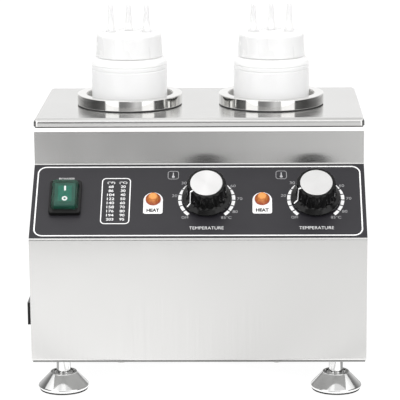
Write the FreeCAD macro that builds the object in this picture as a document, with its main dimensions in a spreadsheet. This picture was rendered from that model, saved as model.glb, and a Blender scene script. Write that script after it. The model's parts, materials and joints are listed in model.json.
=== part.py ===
import FreeCAD, Part
import math
import os
import Sketcher

# Twin heated-well sauce warmer: a folded stainless case on four levelling feet, two heated wells in its
# deck, and a squeeze bottle with a three-spout cap standing in each well.
# Frame: origin on the floor under the middle of the case, +Z up, the front facing -Y. Millimetres.

doc = FreeCAD.newDocument("SauceWarmer")
sheet = doc.addObject("Spreadsheet::Sheet", "Sizes")

DRIVING_SIZES = {
    # case
    "body_width": 300.0,
    "body_depth": 240.0,
    "gauge": 1.0,
    "front_rise": 112.7,
    "slope_run": 68.6,
    "slope_rise": 54.1,
    "wall_rise": 196.9,
    "bend_radius": 2.5,
    "return_width": 12.0,
    "base_gauge": 0.9,
    # lid and the frame under it
    "lid_height": 7.2,
    "lid_gauge": 1.2,
    "lid_radius": 4.2,
    "lid_overhang": 0.5,
    "lid_gap": 1.3,
    "frame_height": 3.5,
    "frame_lean": 1.5,
    "frame_proud": 0.8,
    "frame_wall": 3.0,
    "upstand_inset": 3.4,
    # wells
    "well_spacing": 133.4,
    "well_back": 26.8,
    "well_bore": 81.3,
    "well_depth": 150.3,
    "cup_gauge": 1.0,
    "ring_width": 98.8,
    "ring_height": 11.0,
    "ring_foot_step": 0.8,
    "ring_foot_height": 1.1,
    "flange_width": 92.8,
    "heater_height": 60.0,
    "heater_drop": 125.0,
    "heater_gauge": 3.0,
    "strap_height": 16.0,
    "strap_gauge": 0.8,
    "bulb_width": 6.0,
    "bulb_length": 45.0,
    "capillary_width": 1.6,
    # bottle and cap
    "bottle_width": 70.8,
    "bottle_wall": 1.6,
    "shoulder_height": 190.1,
    "shoulder_rise": 6.3,
    "neck_width": 53.6,
    "neck_rise": 16.1,
    "neck_wall": 1.8,
    "cap_width": 63.2,
    "cap_top_width": 60.4,
    "cap_bore": 56.6,
    "cap_height": 22.4,
    "cap_ceiling": 18.4,
    "spout_pitch": 16.7,
    "spout_base": 7.4,
    "spout_tip": 4.2,
    "spout_height": 26.0,
    "spout_bore": 2.6,
    "seal_gauge": 2.5,
    # control panel, in distances from the middle and up the slope
    "overlay_gauge": 0.4,
    "overlay_low": 1.6,
    "overlay_high": 86.2,
    "dial_left": 7.5,
    "dial_right": 105.3,
    "dial_up": 45.5,
    "lamp_left": -40.6,
    "lamp_right": 57.3,
    "lamp_up": 45.0,
    "switch_across": -119.7,
    "switch_up": 45.8,
    # knob
    "skirt_width": 43.6,
    "grip_width": 36.0,
    "grip_top_width": 34.6,
    "knob_gap": 2.6,
    "knob_height": 22.6,
    "skirt_gauge": 1.4,
    "grip_foot": 4.0,
    "flute_count": 16.0,
    "flute_width": 4.8,
    "flute_out": 1.3,
    "insert_recess": 1.6,
    "insert_width": 28.8,
    "spindle_width": 6.0,
    # lamp
    "lens_width": 13.6,
    "lens_height": 5.6,
    "lamp_width": 12.0,
    # rocker switch
    "frame_across": 28.8,
    "frame_along": 38.0,
    "frame_rise": 4.5,
    "boot_across": 24.6,
    "boot_along": 30.4,
    "boot_rise": 12.2,
    "boot_wall": 1.0,
    "switch_width": 20.4,
    "switch_length": 27.8,
    "switch_depth": 27.0,
    "rocker_width": 18.4,
    "rocker_length": 24.4,
    "pin_width": 3.0,
    "rocker_pivot_depth": 2.2,
    "rocker_middle_rise": 7.4,
    "rocker_end_rise": 8.4,
    # mains inlet
    "inlet_behind": 22.0,
    "inlet_above": 28.2,
    "inlet_width": 27.6,
    "inlet_height": 20.6,
    "inlet_proud": 5.0,
    "inlet_inside": 17.0,
    "socket_width": 24.0,
    "socket_height": 16.2,
    # levelling feet
    "foot_height": 34.9,
    "foot_across": 124.1,
    "foot_along": 92.0,
    "foot_width": 46.8,
    "foot_top_width": 24.4,
    "foot_base_top": 17.5,
    "foot_rim_height": 4.8,
    "pad_width": 38.0,
    "pad_gauge": 0.8,
    "stem_width": 12.6,
    "stem_pin_width": 8.0,
    "collar_width": 17.4,
    "nut_height": 10.0,
    "nut_across": 20.8,
    # fasteners
    "screw_width": 4.0,
    "screw_head": 7.6,
    "screw_head_height": 2.4,
    "low_head_height": 1.2,
    "screw_clearance": 0.15,
    "running_gap": 0.05,
    "earth_bolt_width": 5.0,
}

NODES = {}


class Dim:
    """A size that carries both its number and the spreadsheet formula it comes from."""

    def __init__(self, number, formula=None):
        self.number = float(number)
        self.formula = formula or f"{self.number:.6f}"
        self.bound = formula is not None

    def _with(self, other, sign, number, swapped=False):
        other = as_dim(other)
        left, right = (other, self) if swapped else (self, other)
        bound = self.bound or other.bound
        return Dim(number, f"({left.formula} {sign} {right.formula})" if bound else None)

    def __add__(self, other):
        return self._with(other, "+", self.number + as_dim(other).number)

    def __radd__(self, other):
        return self._with(other, "+", as_dim(other).number + self.number, swapped=True)

    def __sub__(self, other):
        return self._with(other, "-", self.number - as_dim(other).number)

    def __rsub__(self, other):
        return self._with(other, "-", as_dim(other).number - self.number, swapped=True)

    def __mul__(self, other):
        return self._with(other, "*", self.number * as_dim(other).number)

    def __rmul__(self, other):
        return self._with(other, "*", as_dim(other).number * self.number, swapped=True)

    def __truediv__(self, other):
        return self._with(other, "/", self.number / as_dim(other).number)

    def __neg__(self):
        return 0 - self


def as_dim(value):
    return value if isinstance(value, Dim) else Dim(value)


def root(value):
    return Dim(math.sqrt(value.number), f"sqrt({value.formula})")


class SizeBook:
    """The driving sizes as attributes: book.gauge is the cell with the alias gauge."""


def fill_sheet():
    """Writes every driving size to the spreadsheet with its alias, and returns the sizes by name."""
    book = SizeBook()
    for row, (alias, number) in enumerate(DRIVING_SIZES.items(), start=1):
        sheet.set(f"A{row}", alias)
        sheet.set(f"B{row}", str(number))
        sheet.setAlias(f"B{row}", alias)
        setattr(book, alias, Dim(number, f"Sizes.{alias}"))
    doc.recompute()
    return book


S = fill_sheet()

# Levels and planes that many pieces share. The base plate is screwed up against FLOOR_OF_CASE.
FLOOR_OF_CASE = S.foot_height
FRONT = -S.body_depth / 2
BACK = S.body_depth / 2
SIDE = S.body_width / 2
SLOPE_FOOT = FLOOR_OF_CASE + S.front_rise
SLOPE_TOP = SLOPE_FOOT + S.slope_rise
FASCIA = FRONT + S.slope_run
WALL_TOP = FLOOR_OF_CASE + S.wall_rise
FRAME_TOP = WALL_TOP + S.frame_height
LID_BOTTOM = FRAME_TOP + S.lid_gap
DECK = LID_BOTTOM + S.lid_height
FLANGE_TOP = FLOOR_OF_CASE + S.gauge
PLATE_BOTTOM = FLOOR_OF_CASE - S.base_gauge
# The slope's own directions: UP_Y and UP_Z point up the slope, and the outward normal is (0, -UP_Z, UP_Y).
SLOPE_LENGTH = root(S.slope_run * S.slope_run + S.slope_rise * S.slope_rise)
UP_Y = S.slope_run / SLOPE_LENGTH
UP_Z = S.slope_rise / SLOPE_LENGTH
SLOPE_TILT = FreeCAD.Rotation(FreeCAD.Vector(1, 0, 0), math.degrees(math.atan2(UP_Z.number, UP_Y.number)))
BEND_SHIFT = S.gauge * (1 - UP_Z) / UP_Y
AXES = {
    "z": FreeCAD.Rotation(),
    "x": FreeCAD.Rotation(FreeCAD.Vector(0, 1, 0), 90),
    "-x": FreeCAD.Rotation(FreeCAD.Vector(0, 1, 0), -90),
    "y": FreeCAD.Rotation(FreeCAD.Vector(1, 0, 0), -90),
    "-y": FreeCAD.Rotation(FreeCAD.Vector(1, 0, 0), 90),
    "-z": FreeCAD.Rotation(FreeCAD.Vector(1, 0, 0), 180),
}


# ---------------------------------------------------------------- helpers


def bind(thing, prop, value):
    """Sets one property, through an expression when the value comes from the sheet."""
    value = as_dim(value)
    if value.bound:
        thing.setExpression(prop, value.formula)
    elif prop.startswith("Placement.Base."):
        base = thing.Placement.Base
        setattr(base, prop[-1], value.number)
        thing.Placement.Base = base
    else:
        setattr(thing, prop, value.number)


def put(thing, x=0, y=0, z=0, turn=None):
    """Places a thing at (x, y, z), turned by a rotation."""
    turn = turn or FreeCAD.Rotation()
    thing.Placement = FreeCAD.Placement(FreeCAD.Vector(*(as_dim(v).number for v in (x, y, z))), turn)
    for letter, value in zip("xyz", (x, y, z)):
        if as_dim(value).bound:
            bind(thing, f"Placement.Base.{letter}", value)
    return thing


def on_slope(thing, across, up, out=0):
    """Places a thing made about its own Z axis on the control slope, with that axis along the normal."""
    y = FRONT + UP_Y * up - UP_Z * (S.overlay_gauge + out)
    z = SLOPE_FOOT + UP_Z * up + UP_Y * (S.overlay_gauge + out)
    return put(thing, across, y, z, SLOPE_TILT)


def node(thing, label):
    """Names a finished sub-part."""
    thing.Label = label
    NODES[label] = thing
    return thing


def box(length, width, height, x=0, y=0, z=0):
    """A box by its sizes and lowest corner."""
    solid = doc.addObject("Part::Box", "Box")
    for prop, value in (("Length", length), ("Width", width), ("Height", height)):
        bind(solid, prop, value)
    return put(solid, x, y, z)


def block(length, width, height, x=0, y=0, z=0):
    """A box by its sizes, the middle of its base in X and Y, and the height of its base."""
    length, width = as_dim(length), as_dim(width)
    return box(length, width, height, x - length / 2, y - width / 2, z)


def rod(radius, height, x=0, y=0, z=0, along="z"):
    """A cylinder from (x, y, z) along one of the named directions."""
    solid = doc.addObject("Part::Cylinder", "Rod")
    bind(solid, "Radius", radius)
    bind(solid, "Height", height)
    return put(solid, x, y, z, AXES[along])


def cone(low_radius, high_radius, height, x=0, y=0, z=0):
    solid = doc.addObject("Part::Cone", "Cone")
    for prop, value in (("Radius1", low_radius), ("Radius2", high_radius), ("Height", height)):
        bind(solid, prop, value)
    return put(solid, x, y, z)


def hexagon(across, height, x=0, y=0, z=0):
    """A hexagonal prism, such as a nut, measured across its corners."""
    solid = doc.addObject("Part::Prism", "Hexagon")
    solid.Polygon = 6
    bind(solid, "Circumradius", as_dim(across) / 2)
    bind(solid, "Height", height)
    return put(solid, x, y, z)


def fuse(*pieces):
    whole = doc.addObject("Part::MultiFuse", "Fuse")
    whole.Shapes = list(pieces)
    whole.Refine = True
    return whole


def cut(base, *tools):
    result = doc.addObject("Part::Cut", "Cut")
    result.Base = base
    result.Tool = tools[0] if len(tools) == 1 else fuse(*tools)
    return result


def together(*pieces):
    """Several separate solids as one sub-part."""
    group = doc.addObject("Part::Compound", "Group")
    group.Links = list(pieces)
    return group


def origin_plane(body, role):
    return next(plane for plane in body.Origin.OriginFeatures if plane.Role == role)


def draw(body, role, outline):
    """A sketch of one closed outline on an origin plane, every corner held by two bound distances."""
    sketch = body.newObject("Sketcher::SketchObject", "Outline")
    sketch.AttachmentSupport = (origin_plane(body, role), [""])
    sketch.MapMode = "FlatFace"
    corners = [(as_dim(across), as_dim(up)) for across, up in outline]
    count = len(corners)
    for i in range(count):
        start, end = corners[i], corners[(i + 1) % count]
        line = Part.LineSegment(
            FreeCAD.Vector(start[0].number, start[1].number, 0),
            FreeCAD.Vector(end[0].number, end[1].number, 0),
        )
        sketch.addGeometry(line, False)
    for i in range(count):
        sketch.addConstraint(Sketcher.Constraint("Coincident", i, 2, (i + 1) % count, 1))
    for i, corner in enumerate(corners):
        for kind, value in zip(("DistanceX", "DistanceY"), corner):
            index = sketch.addConstraint(Sketcher.Constraint(kind, -1, 1, i, 1, value.number))
            if value.bound:
                sketch.setExpression(f"Constraints[{index}]", value.formula)
    return sketch


def turned(outline):
    """A body of revolution about Z from an outline of (radius, height) corners."""
    body = doc.addObject("PartDesign::Body", "Turned")
    sketch = draw(body, "XZ_Plane", outline)
    spin = body.newObject("PartDesign::Revolution", "Spin")
    spin.Profile = sketch
    spin.ReferenceAxis = (sketch, ["V_Axis"])
    spin.Angle = 360
    doc.recompute()
    return body


def folded(outline, length):
    """A sheet or bar of one section drawn in (Y, Z), running evenly to both sides of the middle."""
    body = doc.addObject("PartDesign::Body", "Folded")
    pad = body.newObject("PartDesign::Pad", "Run")
    pad.Profile = draw(body, "YZ_Plane", outline)
    bind(pad, "Length", length)
    pad.Midplane = True
    doc.recompute()
    return body


def slab(outline, height, taper=0):
    """A plate drawn in (X, Y) and raised from Z 0, its sides leaning in by the taper in degrees."""
    body = doc.addObject("PartDesign::Body", "Slab")
    pad = body.newObject("PartDesign::Pad", "Rise")
    pad.Profile = draw(body, "XY_Plane", outline)
    bind(pad, "Length", height)
    pad.TaperAngle = -taper
    doc.recompute()
    return body


def rectangle(half_x, low_y, high_y):
    return [(-half_x, low_y), (half_x, low_y), (half_x, high_y), (-half_x, high_y)]


def round_off(body, radius, chosen):
    """Fillets every edge of the body that the chosen(edge) test picks."""
    tip = body.Tip
    names = [f"Edge{i}" for i, edge in enumerate(tip.Shape.Edges, start=1) if chosen(edge)]
    if not names:
        raise RuntimeError(f"no edge to round on {body.Name}")
    fillet = body.newObject("PartDesign::Fillet", "Round")
    fillet.Base = (tip, names)
    bind(fillet, "Radius", radius)
    doc.recompute()
    return body


def circle_at(radius, height):
    """An edge test: the circle of this radius at this height on a turned body."""
    radius, height = as_dim(radius).number, as_dim(height).number

    def test(edge):
        lies = abs(edge.BoundBox.ZMin - height) < 1e-4 and abs(edge.BoundBox.ZMax - height) < 1e-4
        return lies and hasattr(edge.Curve, "Radius") and abs(edge.Curve.Radius - radius) < 1e-4

    return test


def ridge_at(*spots):
    """An edge test: the long edges through these (Y, Z) corners of a folded section."""
    places = [(as_dim(y).number, as_dim(z).number) for y, z in spots]

    def test(edge):
        bounds = edge.BoundBox
        if bounds.YLength > 1e-4 or bounds.ZLength > 1e-4:
            return False
        return any(math.hypot(bounds.YMin - y, bounds.ZMin - z) < 1e-3 for y, z in places)

    return test


def screw(x, y, z, along, length, head_height):
    """A cross-head screw whose head sits on (x, y, z) and whose shank runs the other way from `along`."""
    head = rod(S.screw_head / 2, head_height)
    shank = rod(S.screw_width / 2, length, z=-as_dim(length))
    cross_length, cross_width, cross_depth = 4.4, 0.9, head_height / 2
    bottom = head_height - cross_depth
    cross = fuse(
        block(cross_length, cross_width, cross_depth, z=bottom),
        block(cross_width, cross_length, cross_depth, z=bottom),
    )
    return put(cut(fuse(head, shank), cross), x, y, z, AXES[along])


def screw_hole(x, y, z, length, along="z"):
    """A cutter for a screw's shank."""
    return rod(S.screw_width / 2 + S.screw_clearance, length, x, y, z, along)


# ---------------------------------------------------------------- case


def back_screws():
    """The (x, z) of the screws up both edges of the back."""
    from_edge, rows = 7, (25, 100, 175)
    return [(side * (SIDE - from_edge), FLOOR_OF_CASE + row) for side in (-1, 1) for row in rows]


def side_base_screws():
    """The (x, y) of the screws that hold the base plate to the side flanges."""
    from_edge, rows = 6.5, (-50, 60)
    return [(side * (SIDE - from_edge), y) for side in (-1, 1) for y in rows]


def front_base_screws():
    """The (x, y) of the screws that hold the base plate to the front return."""
    from_edge, from_middle = 6.5, 70
    return [(side * from_middle, FRONT + from_edge) for side in (-1, 1)]


def slope_openings(gap):
    """Cutters through the slope for the switch, the lamps and the thermostat bushes."""
    depth = 6
    opening = together(block(S.switch_width + gap, S.switch_length + gap, depth))
    cutters = [on_slope(opening, S.switch_across, S.switch_up, -3)]
    for across in (S.lamp_left, S.lamp_right):
        cutters.append(on_slope(rod(S.lamp_width / 2 + gap / 2, depth), across, S.lamp_up, -3))
    for across in (S.dial_left, S.dial_right):
        cutters.append(on_slope(rod(5.0 + gap / 2, depth), across, S.dial_up, -3))
    return cutters


def make_front_panel():
    """Lower front, control slope and fascia in one folded sheet, with a return under the base."""
    lip = FRONT + S.return_width
    inner = S.gauge
    outline = [
        (FRONT, FLOOR_OF_CASE),
        (FRONT, SLOPE_FOOT),
        (FASCIA, SLOPE_TOP),
        (FASCIA, WALL_TOP),
        (FASCIA + inner, WALL_TOP),
        (FASCIA + inner, SLOPE_TOP - BEND_SHIFT),
        (FRONT + inner, SLOPE_FOOT - BEND_SHIFT),
        (FRONT + inner, FLOOR_OF_CASE + inner),
        (lip, FLOOR_OF_CASE + inner),
        (lip, FLOOR_OF_CASE),
    ]
    body = folded(outline, S.body_width)
    outer_bends = ridge_at(
        (FRONT, FLOOR_OF_CASE), (FRONT, SLOPE_FOOT), (FASCIA + inner, SLOPE_TOP - BEND_SHIFT)
    )
    round_off(body, S.bend_radius, outer_bends)
    inner_bends = ridge_at(
        (FRONT + inner, FLOOR_OF_CASE + inner),
        (FRONT + inner, SLOPE_FOOT - BEND_SHIFT),
        (FASCIA, SLOPE_TOP),
    )
    round_off(body, S.bend_radius - inner, inner_bends)
    holes = [screw_hole(x, y, FLOOR_OF_CASE - 1, 4) for x, y in front_base_screws()]
    node(cut(body, *slope_openings(0.6), *holes), "front_panel")


def make_side_panel(side, label):
    """A flat wall behind the folded front, with a flange along the bottom and one up the back."""
    inner = S.gauge
    front, rear = FRONT + inner, BACK - inner
    outline = [
        (front, FLANGE_TOP),
        (front, SLOPE_FOOT - BEND_SHIFT),
        (FASCIA + inner, SLOPE_TOP - BEND_SHIFT),
        (FASCIA + inner, WALL_TOP),
        (rear, WALL_TOP),
        (rear, FLANGE_TOP),
    ]
    wall = folded(outline, S.gauge)
    round_off(wall, S.bend_radius - inner, ridge_at((front, FLANGE_TOP), (front, SLOPE_FOOT - BEND_SHIFT)))
    put(wall, side * (SIDE - S.gauge / 2))
    inward = SIDE - S.return_width / 2
    foot_start = FRONT + S.return_width + 0.5
    foot_flange = block(
        S.return_width, rear - foot_start, S.gauge, side * inward, (foot_start + rear) / 2, FLOOR_OF_CASE
    )
    back_flange = block(
        S.return_width, S.gauge, WALL_TOP - 6 - FLANGE_TOP, side * inward, rear - S.gauge / 2, FLANGE_TOP
    )
    holes = [screw_hole(x, y, FLOOR_OF_CASE - 1, 4) for x, y in side_base_screws()]
    holes += [screw_hole(x, BACK - 3, z, 4, "y") for x, z in back_screws()]
    if side < 0:
        holes.append(inlet_block(0.2, 10, -5))
    node(cut(fuse(wall, foot_flange, back_flange), *holes), label)


def make_back_panel():
    """The flat back, screwed to both side flanges, with two banks of cooling slots."""
    panel = box(S.body_width, S.gauge, S.wall_rise, -SIDE, BACK - S.gauge, FLOOR_OF_CASE)
    tools = [screw_hole(x, BACK - 3, z, 4, "y") for x, z in back_screws()]
    slot_length, slot_height, slot_pitch = 64, 4, 11
    slot_rows, lowest_slot, bank_middle = 7, 78, 66
    straight = slot_length - slot_height
    for side in (-1, 1):
        for row in range(slot_rows):
            height = FLOOR_OF_CASE + lowest_slot + slot_pitch * row
            tools.append(block(straight, 4, slot_height, side * bank_middle, BACK - 1, height))
            for end in (-1, 1):
                x = side * bank_middle + end * straight / 2
                tools.append(rod(slot_height / 2, 4, x, BACK - 3, height + slot_height / 2, "y"))
    node(cut(panel, *tools), "back_panel")


def foot_spots():
    """The four feet by name, with their (x, y)."""
    names = {"front_left": (-1, -1), "front_right": (1, -1), "back_left": (-1, 1), "back_right": (1, 1)}
    return {name: (sx * S.foot_across, sy * S.foot_along) for name, (sx, sy) in names.items()}


def make_base_plate():
    """The floor of the case: a plate under the flanges, with cooling slots and holes for the feet."""
    inset = 1.0
    front, rear = FRONT + inset, BACK - inset
    plate = block(
        S.body_width - 2 * inset, rear - front, S.base_gauge, 0, (front + rear) / 2, PLATE_BOTTOM
    )
    start, through = PLATE_BOTTOM - 2, 6
    tools = [rod(S.stem_width / 2 + 0.6, through, x, y, start) for x, y in foot_spots().values()]
    tools += [screw_hole(x, y, start, through) for x, y in side_base_screws() + front_base_screws()]
    tools.append(rod(S.earth_bolt_width / 2 + 0.2, through, *earth_stud_spot(), start))
    slot_length, slot_width, slot_pitch, column_pitch, first_row = 44, 4, 14, 70, 20
    for column in (-1, 0, 1):
        for row in range(5):
            x, y = column_pitch * column, first_row + slot_pitch * row
            tools.append(block(slot_length, slot_width, through, x, y, start))
    node(cut(plate, *tools), "base_plate")


def make_deck_frame():
    """The trim frame between case and lid: a leaning polished band with an upstand inside both."""
    lean = math.degrees(math.atan2(S.frame_lean.number, S.frame_height.number))
    low = S.frame_proud
    band = put(slab(rectangle(SIDE + low, FASCIA - low, BACK + low), S.frame_height, lean), z=WALL_TOP)
    gap = S.gauge + S.upstand_inset
    front, rear = FASCIA + gap, BACK - gap
    rise = DECK - S.lid_gauge - (WALL_TOP - 5)
    upstand = block(S.body_width - 2 * gap, rear - front, rise, 0, (front + rear) / 2, WALL_TOP - 5)
    wall = S.frame_wall
    window = block(
        S.body_width - 2 * (gap + wall), rear - front - 2 * wall, 40, 0, (front + rear) / 2, WALL_TOP - 15
    )
    node(cut(fuse(band, upstand), window), "deck_frame")


def make_deck_plate():
    """The lid: one folded pan with rounded edges and two round holes for the wells."""
    over = S.lid_overhang
    body = slab(rectangle(SIDE + over, FASCIA - over - 1, BACK + over), S.lid_height)
    top = S.lid_height.number

    def upper_or_upright(edge):
        low, high = edge.BoundBox.ZMin, edge.BoundBox.ZMax
        return abs(low - top) < 1e-4 or high - low > 1

    round_off(body, S.lid_radius, upper_or_upright)
    tip = body.Tip
    underside = next(
        f"Face{i}" for i, face in enumerate(tip.Shape.Faces, start=1) if face.BoundBox.ZMax < 1e-4
    )
    shell = body.newObject("PartDesign::Thickness", "Pan")
    shell.Base = (tip, [underside])
    bind(shell, "Value", S.lid_gauge)
    shell.Reversed = True
    shell.Join = 0
    doc.recompute()
    put(body, z=LID_BOTTOM)
    hole = S.well_bore / 2 + S.cup_gauge + 0.6
    holes = [rod(hole, 20, side * S.well_spacing / 2, S.well_back, DECK - 10) for side in (-1, 1)]
    node(cut(body, *holes), "deck_plate")


def make_overlay():
    """The printed film on the slope."""
    length = S.overlay_high - S.overlay_low
    film = box(S.body_width, length, S.overlay_gauge)
    on_slope(film, -SIDE, S.overlay_low, -S.overlay_gauge)
    node(cut(film, *slope_openings(0.8)), "control_overlay")


def make_case_screws():
    """The screws of the back panel and, with lower heads, those of the base plate."""
    screws = [screw(x, BACK, z, "y", 8, S.screw_head_height) for x, z in back_screws()]
    for x, y in side_base_screws() + front_base_screws():
        screws.append(screw(x, y, PLATE_BOTTOM, "-z", 7, S.low_head_height))
    node(together(*screws), "case_screws")


# ---------------------------------------------------------------- wells


def make_well(side, word):
    """A steel cup hung in the deck by its flange, and a turned ring that covers the flange."""
    bore = S.well_bore / 2
    outer = bore + S.cup_gauge
    height = S.well_depth + S.cup_gauge
    flange = S.flange_width / 2
    cup = turned(
        [
            (0, 0),
            (outer, 0),
            (outer, height),
            (flange, height),
            (flange, height + S.cup_gauge),
            (bore, height + S.cup_gauge),
            (bore, S.cup_gauge),
            (0, S.cup_gauge),
        ]
    )
    round_off(cup, 3, circle_at(bore, S.cup_gauge))
    round_off(cup, 4, circle_at(outer, 0))
    node(put(cup, side * S.well_spacing / 2, S.well_back, DECK - height), f"well_cup_{word}")

    rim, rebate = S.ring_width / 2, flange + 0.2
    ring = turned(
        [
            (rebate, 0),
            (rim - S.ring_foot_step, 0),
            (rim - S.ring_foot_step, S.ring_foot_height),
            (rim, S.ring_foot_height),
            (rim, S.ring_height),
            (bore, S.ring_height),
            (bore, S.cup_gauge),
            (rebate, S.cup_gauge),
        ]
    )
    round_off(ring, 1.0, circle_at(rim, S.ring_height))
    round_off(ring, 0.9, circle_at(bore, S.ring_height))
    round_off(ring, 0.4, circle_at(rim, S.ring_foot_height))
    node(put(ring, side * S.well_spacing / 2, S.well_back, DECK), f"well_ring_{word}")


def make_heater(side, word):
    """A band heater clamped round the cup by a strap with a bolt, its joint facing the back."""
    x, y = side * S.well_spacing / 2, S.well_back
    inside = S.well_bore / 2 + S.cup_gauge + 0.1
    outside = inside + S.heater_gauge
    low = DECK - S.heater_drop
    split = block(6, 20, S.heater_height + 2, x, y + outside, low - 1)
    posts = [rod(2, 7, x + step, y - outside + 1, low + 12, "-y") for step in (-8, 8)]
    sleeve = cut(rod(outside, S.heater_height, x, y, low), rod(inside, S.heater_height, x, y, low), split)
    node(fuse(sleeve, *posts), f"band_heater_{word}")

    strap_in = outside + 0.05
    strap_out = strap_in + S.strap_gauge
    strap_low = low + (S.heater_height - S.strap_height) / 2
    ears = [
        block(1.2, 12, S.strap_height, x + step, y + strap_out + 5.4, strap_low) for step in (-3.6, 3.6)
    ]
    gap = block(6, 20, S.strap_height + 2, x, y + outside, strap_low - 1)
    band = cut(
        fuse(rod(strap_out, S.strap_height, x, y, strap_low), *ears),
        rod(strap_in, S.strap_height, x, y, strap_low),
        gap,
    )
    bolt = rod(1.6, 18, x - 9, y + strap_out + 7, strap_low + S.strap_height / 2, "x")
    node(fuse(band, bolt), f"heater_strap_{word}")


def rounded_path(points, radius):
    """A wire of straight runs through the points, each corner turned by a tangent arc."""
    edges, start = [], points[0]
    for before, corner, after in zip(points, points[1:], points[2:]):
        to_corner = (corner - before).normalize()
        from_corner = (after - corner).normalize()
        half_turn = to_corner.getAngle(from_corner) / 2
        reach = radius * math.tan(half_turn)
        enter, leave = corner - to_corner * reach, corner + from_corner * reach
        inward = (from_corner - to_corner).normalize()
        middle = corner + inward * (radius / math.cos(half_turn) - radius)
        edges.append(Part.LineSegment(start, enter).toShape())
        edges.append(Part.Arc(enter, middle, leave).toShape())
        start = leave
    edges.append(Part.LineSegment(start, points[-1]).toShape())
    return Part.Wire(edges)


def make_bulb(side, word, dial):
    """The thermostat's sensing bulb against the front of the cup, and its capillary to the dial."""
    x = side * S.well_spacing.number / 2
    reach = S.well_bore.number / 2 + S.cup_gauge.number + S.bulb_width.number / 2 + 0.1
    y = S.well_back.number - reach
    low = DECK.number - 52
    bulb = Part.makeCylinder(S.bulb_width.number / 2, S.bulb_length.number, FreeCAD.Vector(x, y, low))
    normal = FreeCAD.Vector(0, -UP_Z.number, UP_Y.number)
    dial_face = FreeCAD.Vector(
        dial.number,
        FRONT.number + UP_Y.number * S.dial_up.number,
        SLOPE_FOOT.number + UP_Z.number * S.dial_up.number,
    )
    end = dial_face - normal * 32
    route = [
        FreeCAD.Vector(x, y, low),
        FreeCAD.Vector(x, y, low - 7),
        FreeCAD.Vector(x, y - 14, low - 12),
        FreeCAD.Vector(dial.number, end.y + 12, low - 54),
        end,
    ]
    path = rounded_path(route, 5)
    profile = Part.Wire([Part.makeCircle(S.capillary_width.number / 2, route[0], FreeCAD.Vector(0, 0, 1))])
    tube = path.makePipeShell([profile], True, True)
    piece = doc.addObject("Part::Feature", "Bulb")
    piece.Shape = bulb.fuse(tube)
    node(piece, f"thermostat_bulb_{word}")


def make_cutouts():
    """A thermal cut-out disc under each cup, with its two tabs."""
    discs = []
    for side in (-1, 1):
        x, y, z = side * S.well_spacing / 2, S.well_back, DECK - S.well_depth - S.cup_gauge
        disc = rod(8, 6, x, y, z - 6)
        tabs = [block(0.8, 6.3, 12, x + step, y, z - 17.5) for step in (-4, 4)]
        discs.append(fuse(disc, *tabs))
    node(together(*discs), "thermal_cutouts")


# ---------------------------------------------------------------- bottles


def make_bottle(side, word):
    """A squeeze bottle with a screwed cap of three spouts and a sealing ring on its neck."""
    radius, neck = S.bottle_width / 2, S.neck_width / 2
    inside, throat = radius - S.bottle_wall, neck - S.neck_wall
    shoulder = S.shoulder_height
    collar = shoulder + S.shoulder_rise
    rim = collar + S.neck_rise
    ledge = S.cap_width / 2 + 0.6
    bottle = turned(
        [
            (0, 0),
            (radius, 0),
            (radius, shoulder),
            (ledge, collar - 0.6),
            (neck, collar),
            (neck, rim),
            (throat, rim),
            (throat, collar - S.bottle_wall),
            (ledge - 2, collar - S.bottle_wall - 0.6),
            (inside, shoulder - 1),
            (inside, S.bottle_wall),
            (0, S.bottle_wall),
        ]
    )
    round_off(bottle, 4, circle_at(radius, 0))
    round_off(bottle, 3, circle_at(radius, shoulder))
    round_off(bottle, 2.5, circle_at(inside, S.bottle_wall))
    x, y, ground = side * S.well_spacing / 2, S.well_back, DECK - S.well_depth
    node(put(bottle, x, y, ground), f"bottle_{word}")

    inner_edge, outer_edge = neck - 6, S.cap_bore / 2 - 0.5
    seal = turned(
        [(inner_edge, 0), (outer_edge, 0), (outer_edge, S.seal_gauge), (inner_edge, S.seal_gauge)]
    )
    node(put(seal, x, y, ground + rim), f"cap_seal_{word}")
    cap_ground = ground + rim + S.seal_gauge - S.cap_ceiling
    node(put(make_cap(), x, y, cap_ground), f"cap_{word}")


def make_cap():
    """The cap about its own axis, its open rim at Z 0: a tapered shell, a raised disc and the spouts."""
    bore, top = S.cap_bore / 2, S.cap_height
    button, button_rise = 11.5, 1.2
    shell = turned(
        [
            (bore, 0),
            (S.cap_width / 2, 0),
            (S.cap_top_width / 2, top),
            (button, top),
            (button, top + button_rise),
            (0, top + button_rise),
            (0, S.cap_ceiling),
            (bore, S.cap_ceiling),
        ]
    )
    round_off(shell, 3.2, circle_at(S.cap_top_width / 2, top))
    spouts, bores = [], []
    for place in (-1, 0, 1):
        x = place * S.spout_pitch
        spouts.append(cone(S.spout_base / 2, S.spout_tip / 2, S.spout_height, x, 0, top))
        bores.append(
            cone(S.spout_base / 2 - 1.1, S.spout_bore / 2, S.spout_height + 5, x, 0, top - 5)
        )
    return cut(fuse(shell, *spouts), *bores)


# ---------------------------------------------------------------- control panel


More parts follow.
